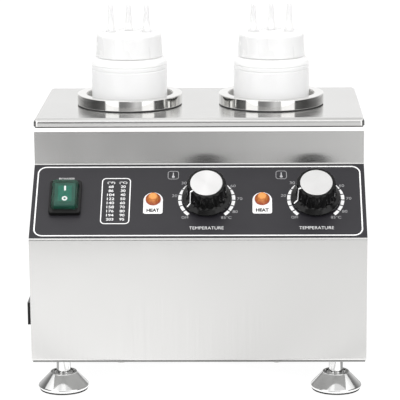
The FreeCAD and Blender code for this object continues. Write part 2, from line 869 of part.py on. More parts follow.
def make_knob(across, word):
    """A fluted control knob with a spun insert in its top, on the thermostat's flatted spindle."""
    grip, crown = S.grip_width / 2, S.grip_top_width / 2
    seat = S.knob_height - S.insert_recess
    insert = S.insert_width / 2
    foot = S.knob_gap
    body = turned(
        [
            (0, foot),
            (S.skirt_width / 2, foot),
            (S.skirt_width / 2, foot + S.skirt_gauge),
            (grip, foot + S.grip_foot),
            (crown, S.knob_height),
            (insert + 0.1, S.knob_height),
            (insert + 0.1, seat),
            (0, seat),
        ]
    )
    round_off(body, 0.6, circle_at(crown, S.knob_height))
    flute = body.newObject("PartDesign::SubtractiveCylinder", "Flute")
    bind(flute, "Radius", S.flute_width / 2)
    bind(flute, "Height", 30)
    flute.AttachmentSupport = (origin_plane(body, "XY_Plane"), [""])
    flute.MapMode = "FlatFace"
    flute.AttachmentOffset = FreeCAD.Placement(
        FreeCAD.Vector((grip + S.flute_out).number, 0, (foot + S.grip_foot).number + 0.3),
        FreeCAD.Rotation(FreeCAD.Vector(0, 1, 0), -2.5),
    )
    doc.recompute()
    pattern = body.newObject("PartDesign::PolarPattern", "Flutes")
    pattern.Originals = [flute]
    pattern.Axis = (next(a for a in body.Origin.OriginFeatures if a.Role == "Z_Axis"), [""])
    pattern.Angle = 360
    pattern.Occurrences = int(S.flute_count.number)
    body.Tip = pattern
    doc.recompute()
    flat_at = S.spindle_width / 2 - 0.9
    hub = cut(rod(S.spindle_width / 2 + 0.04, 15.5), block(8, 2, 14, 0, flat_at + 1.04, 2.2))
    node(on_slope(cut(body, hub), across, S.dial_up), f"knob_{word}")

    disc = turned([(0, seat), (insert, seat), (insert, S.knob_height + 0.6), (0, S.knob_height + 0.9)])
    round_off(disc, 0.4, circle_at(insert, S.knob_height + 0.6))
    node(on_slope(disc, across, S.dial_up), f"knob_cap_{word}")

    shaft = rod(S.spindle_width / 2, 28.5, z=-13.5)
    flat = block(8, 2, 13, 0, flat_at + 1, 2.1)
    node(on_slope(cut(shaft, flat), across, S.dial_up), f"spindle_{word}")


def make_thermostat(across, word):
    """The capillary thermostat behind a knob: case, bush through the slope, nut and tabs."""
    behind = -(S.overlay_gauge + S.gauge)
    case = block(36, 30, 22, 0, 0, -31)
    bush = rod(4.9, 9, z=-9.2)
    nut = hexagon(16, 3, z=behind - 3)
    tabs = [block(6.3, 0.8, 8, step, 9, -38.5) for step in (-9, 9)]
    bore = rod(S.spindle_width / 2 + S.running_gap, 16, z=-14)
    thermostat = cut(fuse(case, bush, nut, *tabs), bore)
    node(on_slope(thermostat, across, S.dial_up), f"thermostat_{word}")


def make_lamp(across, word):
    """A pilot lamp: a domed amber lens over a barrel with its nut behind the slope."""
    rim, dome = S.lens_width / 2, S.lens_height
    lens = turned([(0, 0), (rim, 0), (rim, 1.4), (rim - 1.3, 2.0), (rim - 2.6, dome - 0.7), (0, dome)])
    round_off(lens, 1.6, circle_at(rim - 2.6, dome - 0.7))
    node(on_slope(lens, across, S.lamp_up), f"lamp_lens_{word}")
    behind = -(S.overlay_gauge + S.gauge)
    barrel = rod(S.lamp_width / 2, 26, z=-26)
    nut = hexagon(17, 3, z=behind - 3)
    tabs = [block(2.8, 0.8, 8, step, 0, -33.5) for step in (-3, 3)]
    node(on_slope(fuse(barrel, nut, *tabs), across, S.lamp_up), f"lamp_body_{word}")


def rounded_block(length, width, height, radius, z=0, crown=0):
    """A block with rounded upright corners, and a rounded top edge when crown is not 0."""
    length, width = as_dim(length), as_dim(width)
    body = slab(rectangle(length / 2, -width / 2, width / 2), height)
    tall = as_dim(height).number
    round_off(body, radius, lambda edge: edge.BoundBox.ZLength > 0.5 * tall)
    if crown:
        round_off(body, crown, lambda edge: edge.BoundBox.ZMin > tall - 1e-4)
    return put(body, z=z)


def make_switch():
    """A rocker switch snapped into the slope, under a clear splash boot held by a black frame."""
    across, up = S.switch_across, S.switch_up
    lip = 1.0
    flange = rounded_block(S.frame_across - 1.2, S.frame_along - 1.2, lip, 2.4)
    dome = rounded_block(S.boot_across, S.boot_along, S.boot_rise, 3.4, crown=2.4)
    inside_across, inside_along = S.boot_across - 2 * S.boot_wall, S.boot_along - 2 * S.boot_wall
    hollow = rounded_block(
        inside_across, inside_along, S.boot_rise - S.boot_wall, 2.4, z=-0.01, crown=1.6
    )
    node(on_slope(cut(fuse(flange, dome), hollow), across, up), "switch_boot")

    rim = rounded_block(S.frame_across, S.frame_along, S.frame_rise, 3, crown=1.0)
    window = rounded_block(S.boot_across + 0.2, S.boot_along + 0.2, S.frame_rise + 2, 3.5, z=-1)
    rebate = rounded_block(S.frame_across - 1.0, S.frame_along - 1.0, lip + 0.1, 2.5, z=-0.05)
    node(on_slope(cut(rim, window, rebate), across, up), "switch_frame")

    bezel_rise = 1.8
    shell = block(S.switch_width, S.switch_length, S.switch_depth, z=-S.switch_depth)
    bezel = rounded_block(inside_across - 0.4, inside_along - 0.4, bezel_rise, 2)
    tabs = [block(6.3, 0.8, 9, 0, step, -S.switch_depth - 8.5) for step in (-9, 0, 9)]
    well = block(S.rocker_width + 0.8, S.rocker_length + 1.6, 20, z=bezel_rise - 9)
    bearing_length = S.switch_width - 0.6
    bearing = rod(
        S.pin_width / 2 + S.running_gap, bearing_length, -bearing_length / 2, 0, -S.rocker_pivot_depth, "x"
    )
    node(on_slope(cut(fuse(shell, bezel, *tabs), well, bearing), across, up), "switch_body")
    node(on_slope(make_rocker(), across, up), "rocker")


def make_rocker():
    """The rocker key at rest: its lower end pressed in, turned about a pin across the switch."""
    half = S.rocker_length / 2
    pivot = -S.rocker_pivot_depth.number
    key = folded(
        [
            (-half, 3.6),
            (-half, S.rocker_end_rise),
            (0, S.rocker_middle_rise),
            (half, S.rocker_end_rise),
            (half, 3.6),
            (4, pivot - 0.8),
            (-4, pivot - 0.8),
        ],
        S.rocker_width,
    )
    pin = rod(S.pin_width / 2, S.switch_width - 0.8, -(S.switch_width - 0.8) / 2, 0, pivot, "x")
    tilt = FreeCAD.Rotation(FreeCAD.Vector(1, 0, 0), 7)
    turned_key = fuse(key, pin)
    middle = FreeCAD.Vector(0, 0, pivot)
    turned_key.Placement = FreeCAD.Placement(middle - tilt.multVec(middle), tilt)
    return together(turned_key)


# ---------------------------------------------------------------- electrics in the case


def inlet_block(gap, depth, start):
    """The inlet's body outline as a cutter, `depth` long from `start` beside the left wall."""
    y = FRONT + S.inlet_behind + S.inlet_width / 2
    z = FLOOR_OF_CASE + S.inlet_above - gap + 1
    return box(
        depth, S.inlet_width - 2 + 2 * as_dim(gap), S.inlet_height - 2 + 2 * as_dim(gap),
        -SIDE + start, y - S.inlet_width / 2 + 1 - gap, z,
    )


def make_inlet():
    """A three-pin mains inlet in the left wall: bezel outside, socket body inside, and its pins."""
    y = FRONT + S.inlet_behind + S.inlet_width / 2
    middle = FLOOR_OF_CASE + S.inlet_above + S.inlet_height / 2
    bezel = box(
        S.inlet_proud, S.inlet_width, S.inlet_height,
        -SIDE - S.inlet_proud, y - S.inlet_width / 2, middle - S.inlet_height / 2,
    )
    inside = inlet_block(0, S.inlet_inside, 0)
    socket_depth = 17
    cavity = box(
        socket_depth, S.socket_width, S.socket_height,
        -SIDE - S.inlet_proud - 0.01, y - S.socket_width / 2, middle - S.socket_height / 2,
    )
    pins, slots = [], []
    for step, rise in ((-7, -1.5), (0, 2.5), (7, -1.5)):
        pins.append(box(29, 2, 4, -SIDE - 1.5, y + step - 1, middle + rise - 2))
        slots.append(box(29, 2.04, 4.04, -SIDE - 1.5, y + step - 1.02, middle + rise - 2.02))
    node(cut(fuse(bezel, inside), cavity, *slots), "mains_inlet")
    node(together(*pins), "inlet_pins")


def make_terminal_block():
    """The mains terminal strip on the base plate, each way with its two clamp screws sunk in."""
    x, y = -40, FRONT + 40
    ways, pitch = 5, 12
    strip = block(ways * pitch, 20, 16, x, y, FLOOR_OF_CASE)
    wells = []
    for way in range(ways):
        place = x + (way - (ways - 1) / 2) * pitch
        wells += [rod(2.6, 10, place, y + row, FLOOR_OF_CASE + 9) for row in (-5, 5)]
        wells.append(rod(1.8, 30, place, y - 15, FLOOR_OF_CASE + 5, "y"))
    node(cut(strip, *wells), "terminal_block")


def earth_stud_spot():
    return -SIDE + 24, -36


def make_earth_stud():
    """The earth bolt through the base plate with its nut."""
    x, y = earth_stud_spot()
    across, head_height, nut_height = 9.2, 3.4, 4
    bolt = rod(S.earth_bolt_width / 2, 20, x, y, PLATE_BOTTOM - 0.6)
    head = hexagon(across, head_height, x, y, PLATE_BOTTOM - head_height)
    nut = hexagon(across, nut_height, x, y, FLOOR_OF_CASE)
    node(fuse(bolt, head, nut), "earth_stud")


# ---------------------------------------------------------------- feet


def make_foot(word, x, y):
    """A levelling foot: a collared stem turning in a flared base with a rubber pad under it."""
    rim, top = S.foot_width / 2, S.foot_base_top
    crown = S.foot_top_width / 2
    recess = crown - 2.2
    pin_hole = S.stem_pin_width / 2 + S.running_gap
    step = top - 3
    base = turned(
        [
            (0, S.pad_gauge),
            (rim - 1.9, S.pad_gauge),
            (rim, S.foot_rim_height),
            (crown, top - 0.8),
            (crown, top),
            (recess, top),
            (recess, step),
            (pin_hole, step),
            (pin_hole, 8),
            (0, 8),
        ]
    )
    round_off(base, 1.6, circle_at(rim, S.foot_rim_height))
    round_off(base, 0.6, circle_at(crown, top))
    node(put(base, x, y), f"foot_base_{word}")
    pad_rim = S.pad_width / 2
    pad = turned([(0, 0), (pad_rim - 0.3, 0), (pad_rim, 0.3), (pad_rim, S.pad_gauge), (0, S.pad_gauge)])
    node(put(pad, x, y), f"foot_pad_{word}")
    stem_top = FLOOR_OF_CASE + S.nut_height + 2
    collar = S.collar_width / 2
    stem = turned(
        [
            (0, 8.1),
            (S.stem_pin_width / 2, 8.1),
            (S.stem_pin_width / 2, step + 0.1),
            (collar, step + 0.1),
            (collar, top - 0.1),
            (S.stem_width / 2, top - 0.1),
            (S.stem_width / 2, stem_top - 1),
            (S.stem_width / 2 - 1, stem_top),
            (0, stem_top),
        ]
    )
    round_off(stem, 1.4, circle_at(collar, top - 0.1))
    node(put(stem, x, y), f"foot_stem_{word}")


def make_foot_nuts():
    """The four weld nuts on the base plate that the feet screw into."""
    nuts = []
    for x, y in foot_spots().values():
        bore = rod(S.stem_width / 2 + S.running_gap, S.nut_height, x, y, FLOOR_OF_CASE)
        nuts.append(cut(hexagon(S.nut_across, S.nut_height, x, y, FLOOR_OF_CASE), bore))
    node(together(*nuts), "foot_nuts")


# ---------------------------------------------------------------- build, check and write


def build():
    make_front_panel()
    make_back_panel()
    make_base_plate()
    make_deck_frame()
    make_deck_plate()
    make_overlay()
    make_case_screws()
    for side, word in ((-1, "left"), (1, "right")):
        make_side_panel(side, f"side_panel_{word}")
        make_well(side, word)
        make_heater(side, word)
        make_bottle(side, word)
    for word, dial, lamp in (("left", S.dial_left, S.lamp_left), ("right", S.dial_right, S.lamp_right)):
        make_bulb(-1 if word == "left" else 1, word, dial)
        make_knob(dial, word)
        make_thermostat(dial, word)
        make_lamp(lamp, word)
    make_cutouts()
    make_switch()
    make_inlet()
    make_terminal_block()
    make_earth_stud()
    for word, (x, y) in foot_spots().items():
        make_foot(word, x, y)
    make_foot_nuts()


def check():
    """Stops on any failed object and on any sub-part without a sound shape."""
    failed = [f"{o.Name} ({o.Label})" for o in doc.Objects if {"Invalid", "Error"} & set(o.State)]
    for label, piece in NODES.items():
        if piece.Shape.isNull() or not piece.Shape.isValid() or not piece.Shape.Solids:
            failed.append(label)
    if failed:
        raise RuntimeError("failed: " + ", ".join(failed))


def write():
    os.makedirs("parts", exist_ok=True)
    for label, piece in NODES.items():
        piece.Shape.exportStep(f"parts/{label}.step")
    print(len(NODES), "sub-parts written")


build()
doc.recompute()
check()
write()
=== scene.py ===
import json
import math

import bmesh
import bpy
from mathutils import Matrix, Vector


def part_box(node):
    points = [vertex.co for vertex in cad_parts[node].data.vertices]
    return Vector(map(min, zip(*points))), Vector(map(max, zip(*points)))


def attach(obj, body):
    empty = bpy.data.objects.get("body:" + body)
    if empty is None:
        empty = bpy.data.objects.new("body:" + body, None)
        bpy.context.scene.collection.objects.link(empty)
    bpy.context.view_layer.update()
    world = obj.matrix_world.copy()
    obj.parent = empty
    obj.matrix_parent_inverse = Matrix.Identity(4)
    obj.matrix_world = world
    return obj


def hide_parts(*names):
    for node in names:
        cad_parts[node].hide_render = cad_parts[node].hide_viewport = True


# The looks of a two-well bottle warmer for sauce or melted cheese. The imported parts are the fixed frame.
# This script gives each of them a finish, and adds the detailed pieces: the printing on the control film,
# the knobs, lamps and rocker switch, the trim of the lid and the wells, and the bottles and their caps.
# Shapes are written in millimetres and made in metres.

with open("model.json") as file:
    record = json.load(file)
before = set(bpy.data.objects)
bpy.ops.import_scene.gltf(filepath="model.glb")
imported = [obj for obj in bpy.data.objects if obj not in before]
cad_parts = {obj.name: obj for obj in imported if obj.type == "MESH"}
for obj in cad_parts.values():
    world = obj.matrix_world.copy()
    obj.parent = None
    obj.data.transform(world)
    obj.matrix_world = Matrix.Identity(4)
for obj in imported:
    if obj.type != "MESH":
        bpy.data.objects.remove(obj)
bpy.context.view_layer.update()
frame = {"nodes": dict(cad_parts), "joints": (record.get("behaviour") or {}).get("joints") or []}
MM = 0.001
SIDES = ("left", "right")

# ---------------------------------------------------------------- places read from the frame

JOINTS = {joint["name"]: joint for joint in frame["joints"]}
SLOPE_NORMAL = -Vector(JOINTS["knob_left_turn"]["axis"]).normalized()
SLOPE_UP = Vector((0, SLOPE_NORMAL.z, -SLOPE_NORMAL.y))
SLOPE_TURN = Matrix((Vector((1, 0, 0)), SLOPE_UP, SLOPE_NORMAL)).transposed().to_4x4()
DIALS = {side: Vector(JOINTS[f"knob_{side}_turn"]["pos_m"]) for side in SIDES}

# Distances up the slope start at its foot, and those across it at the middle of the case.
DIAL_UP = 45.5
SLOPE_FOOT = DIALS["left"] - DIAL_UP * MM * SLOPE_UP
SLOPE_FOOT.x = 0


def on_slope(across, up, turn=0):
    """The place of a piece whose own X runs across the slope, its Y up it and its Z out of it."""
    spot = SLOPE_FOOT + MM * Vector((across, 0, 0)) + MM * up * SLOPE_UP
    return Matrix.Translation(spot) @ SLOPE_TURN @ Matrix.Rotation(math.radians(turn), 4, "Z")


def over(node):
    """The place of a turned piece: the middle of a CAD node, at its lowest level."""
    low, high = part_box(node)
    return Matrix.Translation(((low.x + high.x) / 2, (low.y + high.y) / 2, low.z))


# ---------------------------------------------------------------- camera

CAMERA_PLACE = Vector((0.04354, -1.87298, 0.57423))
CAMERA_YAW = math.radians(-1.349)
CAMERA_PITCH = math.radians(12.574)
CAMERA_ROLL = math.radians(-0.449)
CAMERA_LENS = 183.6
CAMERA_SENSOR = 36.0


def make_camera():
    """A long lens in front of the machine, looking down at it a little."""
    ahead = Vector(
        (
            math.sin(CAMERA_YAW) * math.cos(CAMERA_PITCH),
            math.cos(CAMERA_YAW) * math.cos(CAMERA_PITCH),
            -math.sin(CAMERA_PITCH),
        )
    )
    level = Vector((math.cos(CAMERA_YAW), -math.sin(CAMERA_YAW), 0))
    right = math.cos(CAMERA_ROLL) * level + math.sin(CAMERA_ROLL) * level.cross(ahead)
    turn = Matrix((right, right.cross(ahead), -ahead)).transposed().to_4x4()
    data = bpy.data.cameras.new("camera")
    data.lens = CAMERA_LENS
    data.sensor_width = CAMERA_SENSOR
    camera = bpy.data.objects.new("camera", data)
    camera.matrix_world = Matrix.Translation(CAMERA_PLACE) @ turn
    bpy.context.scene.collection.objects.link(camera)
    bpy.context.scene.camera = camera


# ---------------------------------------------------------------- materials

PLASTIC_IOR = 1.49


class Shader:
    """A node material around one Principled shader."""

    def __init__(self, name, **values):
        self.material = bpy.data.materials.new(name)
        self.material.use_nodes = True
        self.tree = self.material.node_tree
        self.main = self.tree.nodes["Principled BSDF"]
        for key, value in values.items():
            self.main.inputs[key.replace("_", " ")].default_value = value

    def node(self, kind, **values):
        """A new node, with values for its sockets by name."""
        made = self.tree.nodes.new(kind)
        for key, value in values.items():
            made.inputs[key.replace("_", " ")].default_value = value
        return made

    def feed(self, source, socket):
        """Links an output to a socket of the Principled shader."""
        self.tree.links.new(source, self.main.inputs[socket])

    def noise(self, scale, detail=3.0, rough=0.6):
        """Noise of 0 to 1 over the piece, with its scale along each axis in cells a metre."""
        coords = self.node("ShaderNodeTexCoord")
        mapping = self.node("ShaderNodeMapping", Scale=scale)
        made = self.node("ShaderNodeTexNoise", Scale=1.0, Detail=detail, Roughness=rough)
        self.tree.links.new(coords.outputs["Object"], mapping.inputs["Vector"])
        self.tree.links.new(mapping.outputs["Vector"], made.inputs["Vector"])
        return made.outputs["Fac"]

    def rings(self, spacing):
        """Concentric waves about the piece's own Z axis, a spacing in metres apart."""
        coords = self.node("ShaderNodeTexCoord")
        scale = 0.5 * math.pi / (10 * spacing)
        made = self.node("ShaderNodeTexWave", Scale=scale, Distortion=1.5, Detail=3.0)
        made.wave_type = "RINGS"
        made.rings_direction = "Z"
        self.tree.links.new(coords.outputs["Object"], made.inputs["Vector"])
        return made.outputs["Fac"]

    def distance_out(self):
        """The distance in metres from the piece's own Z axis."""
        coords = self.node("ShaderNodeTexCoord")
        flat = self.node("ShaderNodeVectorMath")
        flat.operation = "MULTIPLY"
        flat.inputs[1].default_value = (1, 1, 0)
        length = self.node("ShaderNodeVectorMath")
        length.operation = "LENGTH"
        self.tree.links.new(coords.outputs["Object"], flat.inputs[0])
        self.tree.links.new(flat.outputs["Vector"], length.inputs[0])
        return length.outputs["Value"]

    def height(self, factor):
        """The height over the piece's own origin in metres, times a factor."""
        parts = self.node("ShaderNodeSeparateXYZ")
        self.tree.links.new(self.node("ShaderNodeTexCoord").outputs["Object"], parts.inputs[0])
        return self.times(parts.outputs["Z"], factor)

    def times(self, source, factor, offset=0.0):
        """A value times a factor, plus an offset."""
        made = self.node("ShaderNodeMath")
        made.operation = "MULTIPLY_ADD"
        made.inputs[1].default_value, made.inputs[2].default_value = factor, offset
        self.tree.links.new(source, made.inputs[0])
        return made.outputs[0]

    def summed(self, first, second):
        """The sum of two values."""
        made = self.node("ShaderNodeMath")
        made.operation = "ADD"
        self.tree.links.new(first, made.inputs[0])
        self.tree.links.new(second, made.inputs[1])
        return made.outputs[0]

    def colour(self, source, dark, light, start=0.3, end=0.7):
        """A base colour that runs from dark to light with a 0 to 1 value."""
        ramp = self.node("ShaderNodeValToRGB")
        for stop, place, tone in zip(ramp.color_ramp.elements, (start, end), (dark, light)):
            stop.position = place
            stop.color = (*tone, 1)
        self.tree.links.new(source, ramp.inputs["Fac"])
        self.feed(ramp.outputs["Color"], "Base Color")

    def roughness(self, source, low, high):
        """A roughness that runs from low to high with a 0 to 1 value."""
        made = self.node("ShaderNodeMapRange", From_Min=0.3, From_Max=0.7, To_Min=low, To_Max=high)
        self.tree.links.new(source, made.inputs["Value"])
        self.feed(made.outputs["Result"], "Roughness")

    def bump(self, height, depth, strength=1.0):
        """Relief of a depth in metres, on top of any relief given before."""
        made = self.node("ShaderNodeBump", Strength=strength, Distance=depth)
        self.tree.links.new(height, made.inputs["Height"])
        if self.main.inputs["Normal"].is_linked:
            self.tree.links.new(self.main.inputs["Normal"].links[0].from_socket, made.inputs["Normal"])
        self.feed(made.outputs["Normal"], "Normal")

    def grain_across(self, axis):
        """Stretches reflections round an axis of the piece, as fine scratches across that do."""
        tangent = self.node("ShaderNodeTangent")
        tangent.direction_type = "RADIAL"
        tangent.axis = axis
        self.feed(tangent.outputs["Tangent"], "Tangent")


def scaled(tone, factor):
    """A colour made lighter or darker."""
    return tuple(factor * part for part in tone)


def brushed(name, tone, roughness, lines, axis, depth=0.000004, spread=0.07, lean=0.0):
    """Brushed stainless steel: fine scratches with uneven tone, over a faint cloudiness from handling.

    A lean tips the upright faces downwards by that slope, like the edge of a pressed sheet."""
    shader = Shader(name, Metallic=1.0, Anisotropic=0.85)
    shader.grain_across(axis)
    scratches = shader.noise(lines, detail=5.0, rough=0.75)
    shader.colour(scratches, scaled(tone, 1 - spread), scaled(tone, 1 + spread / 3), 0.35, 0.65)
    clouds = shader.noise((14, 14, 14), detail=2.0)
    shader.roughness(clouds, 0.9 * roughness, 1.1 * roughness)
    shader.bump(scratches, depth)
    if lean:
        shader.bump(shader.height(lean), 1.0)
    return shader.material


def polished(name, tone, roughness):
    """Polished or plated metal with faint wipe marks."""
    shader = Shader(name, Metallic=1.0)
    marks = shader.noise((90, 90, 90), detail=6.0)
    shader.colour(marks, scaled(tone, 0.95), tone)
    shader.roughness(marks, 0.6 * roughness, 1.5 * roughness)
    shader.bump(marks, 0.00001)
    return shader.material


def moulded(name, dark, light, roughness, grain=900, depth=0.00001, **extra):
    """Moulded plastic, rubber or ink: a fine grain, and slow changes in colour and gloss."""
    shader = Shader(name, **extra)
    slow = shader.noise((35, 35, 35))
    shader.colour(slow, dark, light)
    shader.roughness(slow, 0.88 * roughness, 1.15 * roughness)
    shader.bump(shader.noise((grain, grain, grain), detail=2.0), depth)
    return shader.material


def milky(name, tone, roughness, glow):
    """Soft milky polyethylene with a painted glow: an even emission that brightens it and flattens its
    shading, though it is no lamp.
    """
    shader = Shader(name, Subsurface_Weight=0.7, Subsurface_Radius=(1.0, 1.0, 0.95), Subsurface_Scale=0.012)
    # Painted glow: the plastic gets an emission of its own, the glow strength, which brightens it evenly.
    shader.main.inputs["Emission Color"].default_value = (1, 1, 1, 1)
    shader.main.inputs["Emission Strength"].default_value = glow
    slow = shader.noise((40, 40, 14))
    shader.colour(slow, scaled(tone, 0.975), tone)
    shader.roughness(slow, 0.85 * roughness, 1.2 * roughness)
    shader.bump(slow, 0.00006)
    shader.bump(shader.noise((1500, 1500, 1500)), 0.000006)
    return shader.material


def lens_plastic(name, rim, heart, roughness, **extra):
    """Coloured lens plastic with painted shade that darkens its colour towards its rim, and painted flecks of
    light where its back catches it.
    """
    shader = Shader(name, IOR=PLASTIC_IOR, **extra)
    flecks = shader.noise((420, 420, 420), detail=3.0)
    # Painted shade: the colour darkens with the distance from the axis towards the rim, and the flecks add
    # painted light.
    inward = shader.times(shader.distance_out(), -160.0, 1.12)
    shader.colour(shader.summed(inward, shader.times(flecks, 0.7, -0.35)), rim, heart, 0.1, 0.75)
    shader.roughness(flecks, 0.7 * roughness, 1.4 * roughness)
    shader.bump(flecks, 0.00003)
    return shader.material


def coloured_clear(name, dark, light, roughness, **extra):
    """Coloured see-through plastic with small flow marks."""
    shader = Shader(name, IOR=PLASTIC_IOR, **extra)
    marks = shader.noise((260, 260, 260), detail=4.0)
    shader.colour(marks, dark, light)
    shader.roughness(marks, 0.7 * roughness, 1.4 * roughness)
    shader.bump(marks, 0.00003)
    return shader.material


def spun(name, tone, roughness):
    """A turned metal face with a fine spiral tool mark."""
    shader = Shader(name, Metallic=1.0, Anisotropic=0.8, Anisotropic_Rotation=0.25)
    shader.grain_across("Z")
    turns = shader.rings(0.00035)
    shader.colour(turns, scaled(tone, 0.96), tone, 0.2, 0.8)
    shader.roughness(shader.noise((70, 70, 70)), 0.9 * roughness, 1.1 * roughness)
    shader.bump(turns, 0.000003)
    return shader.material


STEEL = (0.72, 0.716, 0.706)
# The scale of brushed lines along each axis, in cells a metre.
UPRIGHT_LINES = (1500, 1500, 9)
LENGTHWISE_LINES = (9, 1500, 1500)

MATERIALS = {
    "case": brushed("case_steel", STEEL, 0.24, UPRIGHT_LINES, "Z", 0.000001, 0.03),
    "deck": brushed("deck_steel", STEEL, 0.17, LENGTHWISE_LINES, "X", 0.000001, 0.05, lean=0.09),
    "dull": brushed("dull_steel", (0.44, 0.44, 0.435), 0.45, LENGTHWISE_LINES, "X"),
    "cup": brushed("cup_steel", (0.7, 0.695, 0.68), 0.45, (500, 500, 20), "Z"),
    "trim": polished("polished_trim", (0.83, 0.825, 0.81), 0.06),
    "chrome": polished("foot_chrome", (0.86, 0.86, 0.855), 0.1),
    "zinc": polished("zinc_plate", (0.6, 0.6, 0.58), 0.24),
    "film": moulded("printed_film", (0.0145, 0.0135, 0.017), (0.018, 0.017, 0.0205), 0.36, 2600, 0.000012),
    # Painted glow: the rocker's marks shine with an emission of their own.
    "painted_glow_ink": moulded(
        "painted_glow_ink", (0.8, 0.8, 0.8), (0.86, 0.86, 0.86), 0.5, 3000,
        Emission_Color=(1, 1, 1, 1), Emission_Strength=0.8,
    ),
    "grey_ink": moulded("grey_ink", (0.36, 0.36, 0.37), (0.42, 0.42, 0.43), 0.5, 3000),
    "white_ink": moulded("white_ink", (0.78, 0.78, 0.78), (0.84, 0.84, 0.84), 0.5, 3000),
    "black_ink": moulded("black_ink", (0.012, 0.012, 0.012), (0.02, 0.02, 0.02), 0.5, 3000),
    "black": moulded(
        "black_plastic", (0.003, 0.003, 0.003), (0.006, 0.006, 0.006), 0.13, 1500, 0.000006,
        Specular_IOR_Level=0.3,
    ),
    "rubber": moulded("pad_rubber", (0.018, 0.018, 0.018), (0.032, 0.032, 0.032), 0.7, 1200, 0.00003),
    "seal": moulded("seal_rubber", (0.66, 0.66, 0.63), (0.74, 0.74, 0.71), 0.5, 1200, 0.00002),
    "nylon": moulded("barrel_nylon", (0.58, 0.55, 0.48), (0.66, 0.63, 0.55), 0.45),
    "mica": brushed("heater_band", (0.52, 0.5, 0.46), 0.4, (300, 300, 30), "Z", 0.00002),
    "copper": polished("capillary_copper", (0.84, 0.48, 0.34), 0.2),
    "brass": polished("pin_brass", (0.8, 0.72, 0.5), 0.18),
    # The last number of the bottle and of the cap is a painted glow, an emission strength.
    "bottle": milky("bottle_plastic", (0.66, 0.66, 0.655), 0.34, 0.145),
    "cap": milky("cap_plastic", (0.64, 0.64, 0.635), 0.28, 0.11),
    # The amber lens's dark first colour is the painted shade at its rim.
    "amber": lens_plastic(
        "amber_lens", (0.3, 0.05, 0.012), (0.78, 0.31, 0.075), 0.16, Transmission_Weight=0.1
    ),
    "boot": coloured_clear(
        "splash_boot", (0.012, 0.06, 0.038), (0.024, 0.1, 0.066), 0.16, Alpha=0.42, Coat_Weight=0.3
    ),
    "key": coloured_clear("key_border", (0.02, 0.085, 0.065), (0.03, 0.11, 0.085), 0.2),
    "key_window": coloured_clear(
        "key_window", (0.004, 0.2, 0.135), (0.01, 0.3, 0.205), 0.2, Transmission_Weight=0.2
    ),
    "insert": spun("spun_insert", (0.97, 0.965, 0.96), 0.3),
}

NODE_MATERIALS = {
    "case": ("front_panel", "side_panel", "back_panel"),
    "deck": ("deck_plate",),
    "dull": ("base_plate",),
    "cup": ("well_cup", "spindle"),
    "trim": ("deck_frame", "well_ring"),
    "chrome": ("foot_base", "foot_stem"),
    "zinc": ("case_screws", "foot_nuts", "earth_stud", "heater_strap", "thermostat", "thermal_cutouts"),
    "film": ("control_overlay",),
    "black": ("switch_body", "switch_frame", "mains_inlet", "knob"),
    "rubber": ("foot_pad",),
    "seal": ("cap_seal",),
    "nylon": ("lamp_body", "terminal_block"),
    "mica": ("band_heater",),
    "copper": ("thermostat_bulb",),
    "brass": ("inlet_pins",),
    "bottle": ("bottle",),
    "cap": ("cap_left", "cap_right"),
    "amber": ("lamp_lens",),
    "boot": ("switch_boot",),
    "key": ("rocker",),
    "insert": ("knob_cap",),
}


def dress_nodes():
    """Gives each CAD node the material whose longest word starts its name."""
    words = {word: material for material, starts in NODE_MATERIALS.items() for word in starts}
    for name, thing in frame["nodes"].items():
        word = max((start for start in words if name.startswith(start)), key=len)
        for slot in thing.material_slots:
            slot.material = MATERIALS[words[word]]


# ---------------------------------------------------------------- studio

FLOOR_HALF = 6.0
FLOOR_GLOW = 0.95
FLOOR_TONE = 0.1
# What shiny surfaces see round the machine: a table, a wall, screens over it and a ceiling. Each has its two
# edges as (radius, height), and its brightness by bearing in degrees from the front, rising to the right.
ROOM, ROOM_MIDDLE = 0.8, 0.01
TABLE_LEVEL, SCREEN_FOOT, CEILING = 0.001, 0.5, 1.0
STUDIO = {
    "studio_table": (
        (ROOM_MIDDLE, TABLE_LEVEL), (ROOM, TABLE_LEVEL),
        ((-180, 0.9), (-110, 0.5), (-62, 0.5), (-58, 1.3), (-33, 1.3), (-31.5, 0.65), (-29, 0.6),
         (-27.5, 1.3), (-12, 1.15), (0, 1.12), (14, 0.9), (23, 1.08), (27, 1.25), (28.5, 0.5), (31.5, 0.5),
         (33, 1.3), (58, 1.3), (62, 0.35), (110, 0.5), (180, 0.9)),
    ),
    "studio_wall": (
        (ROOM, TABLE_LEVEL), (ROOM, SCREEN_FOOT),
        ((-156, 1.05), (-145, 0.7), (-112, 0.2), (-82, 0.07), (-55.5, 0.08), (-54, 1.5), (-26, 1.5),
         (-25, 0.22), (-12, 0.24), (0, 0.38), (12, 0.72), (25, 0.6), (26, 1.5), (54, 1.5), (55.5, 0.08),
         (82, 0.07), (112, 0.2), (145, 0.7), (156, 1.05)),
    ),
    "studio_screens": (
        (ROOM, SCREEN_FOOT), (ROOM, CEILING),
        ((-150, 1.05), (-100, 0.9), (-70, 1.4), (0, 1.45), (70, 1.4), (100, 0.9), (150, 1.05)),
    ),
    "studio_ceiling": (
        (ROOM, CEILING), (ROOM_MIDDLE, CEILING),
        ((-165, 1.1), (-158, 0.8), (-100, 0.9), (-85, 1.25), (-55, 1.25), (-35, 0.9), (-20, 1.15),
         (0, 1.15), (6, 0.84), (150, 0.8), (164, 1.1)),
    ),
}
STUDIO_STEPS = 120
SHADE_STEPS, SHADE_LEVEL = 48, 0.0012
LIGHT_AIM = Vector((0, 0, 0.15))


def stage_piece(name, corners, faces, material, seen=True):
    """A mesh of the studio. One that is not seen shows in reflections only."""
    mesh = bpy.data.meshes.new(name)
    mesh.from_pydata(corners, [], faces)
    mesh.materials.append(material)
    thing = bpy.data.objects.new(name, mesh)
    bpy.context.scene.collection.objects.link(thing)
    if not seen:
        for ray in ("camera", "diffuse", "transmission", "volume_scatter", "shadow"):
            setattr(thing, f"visible_{ray}", False)


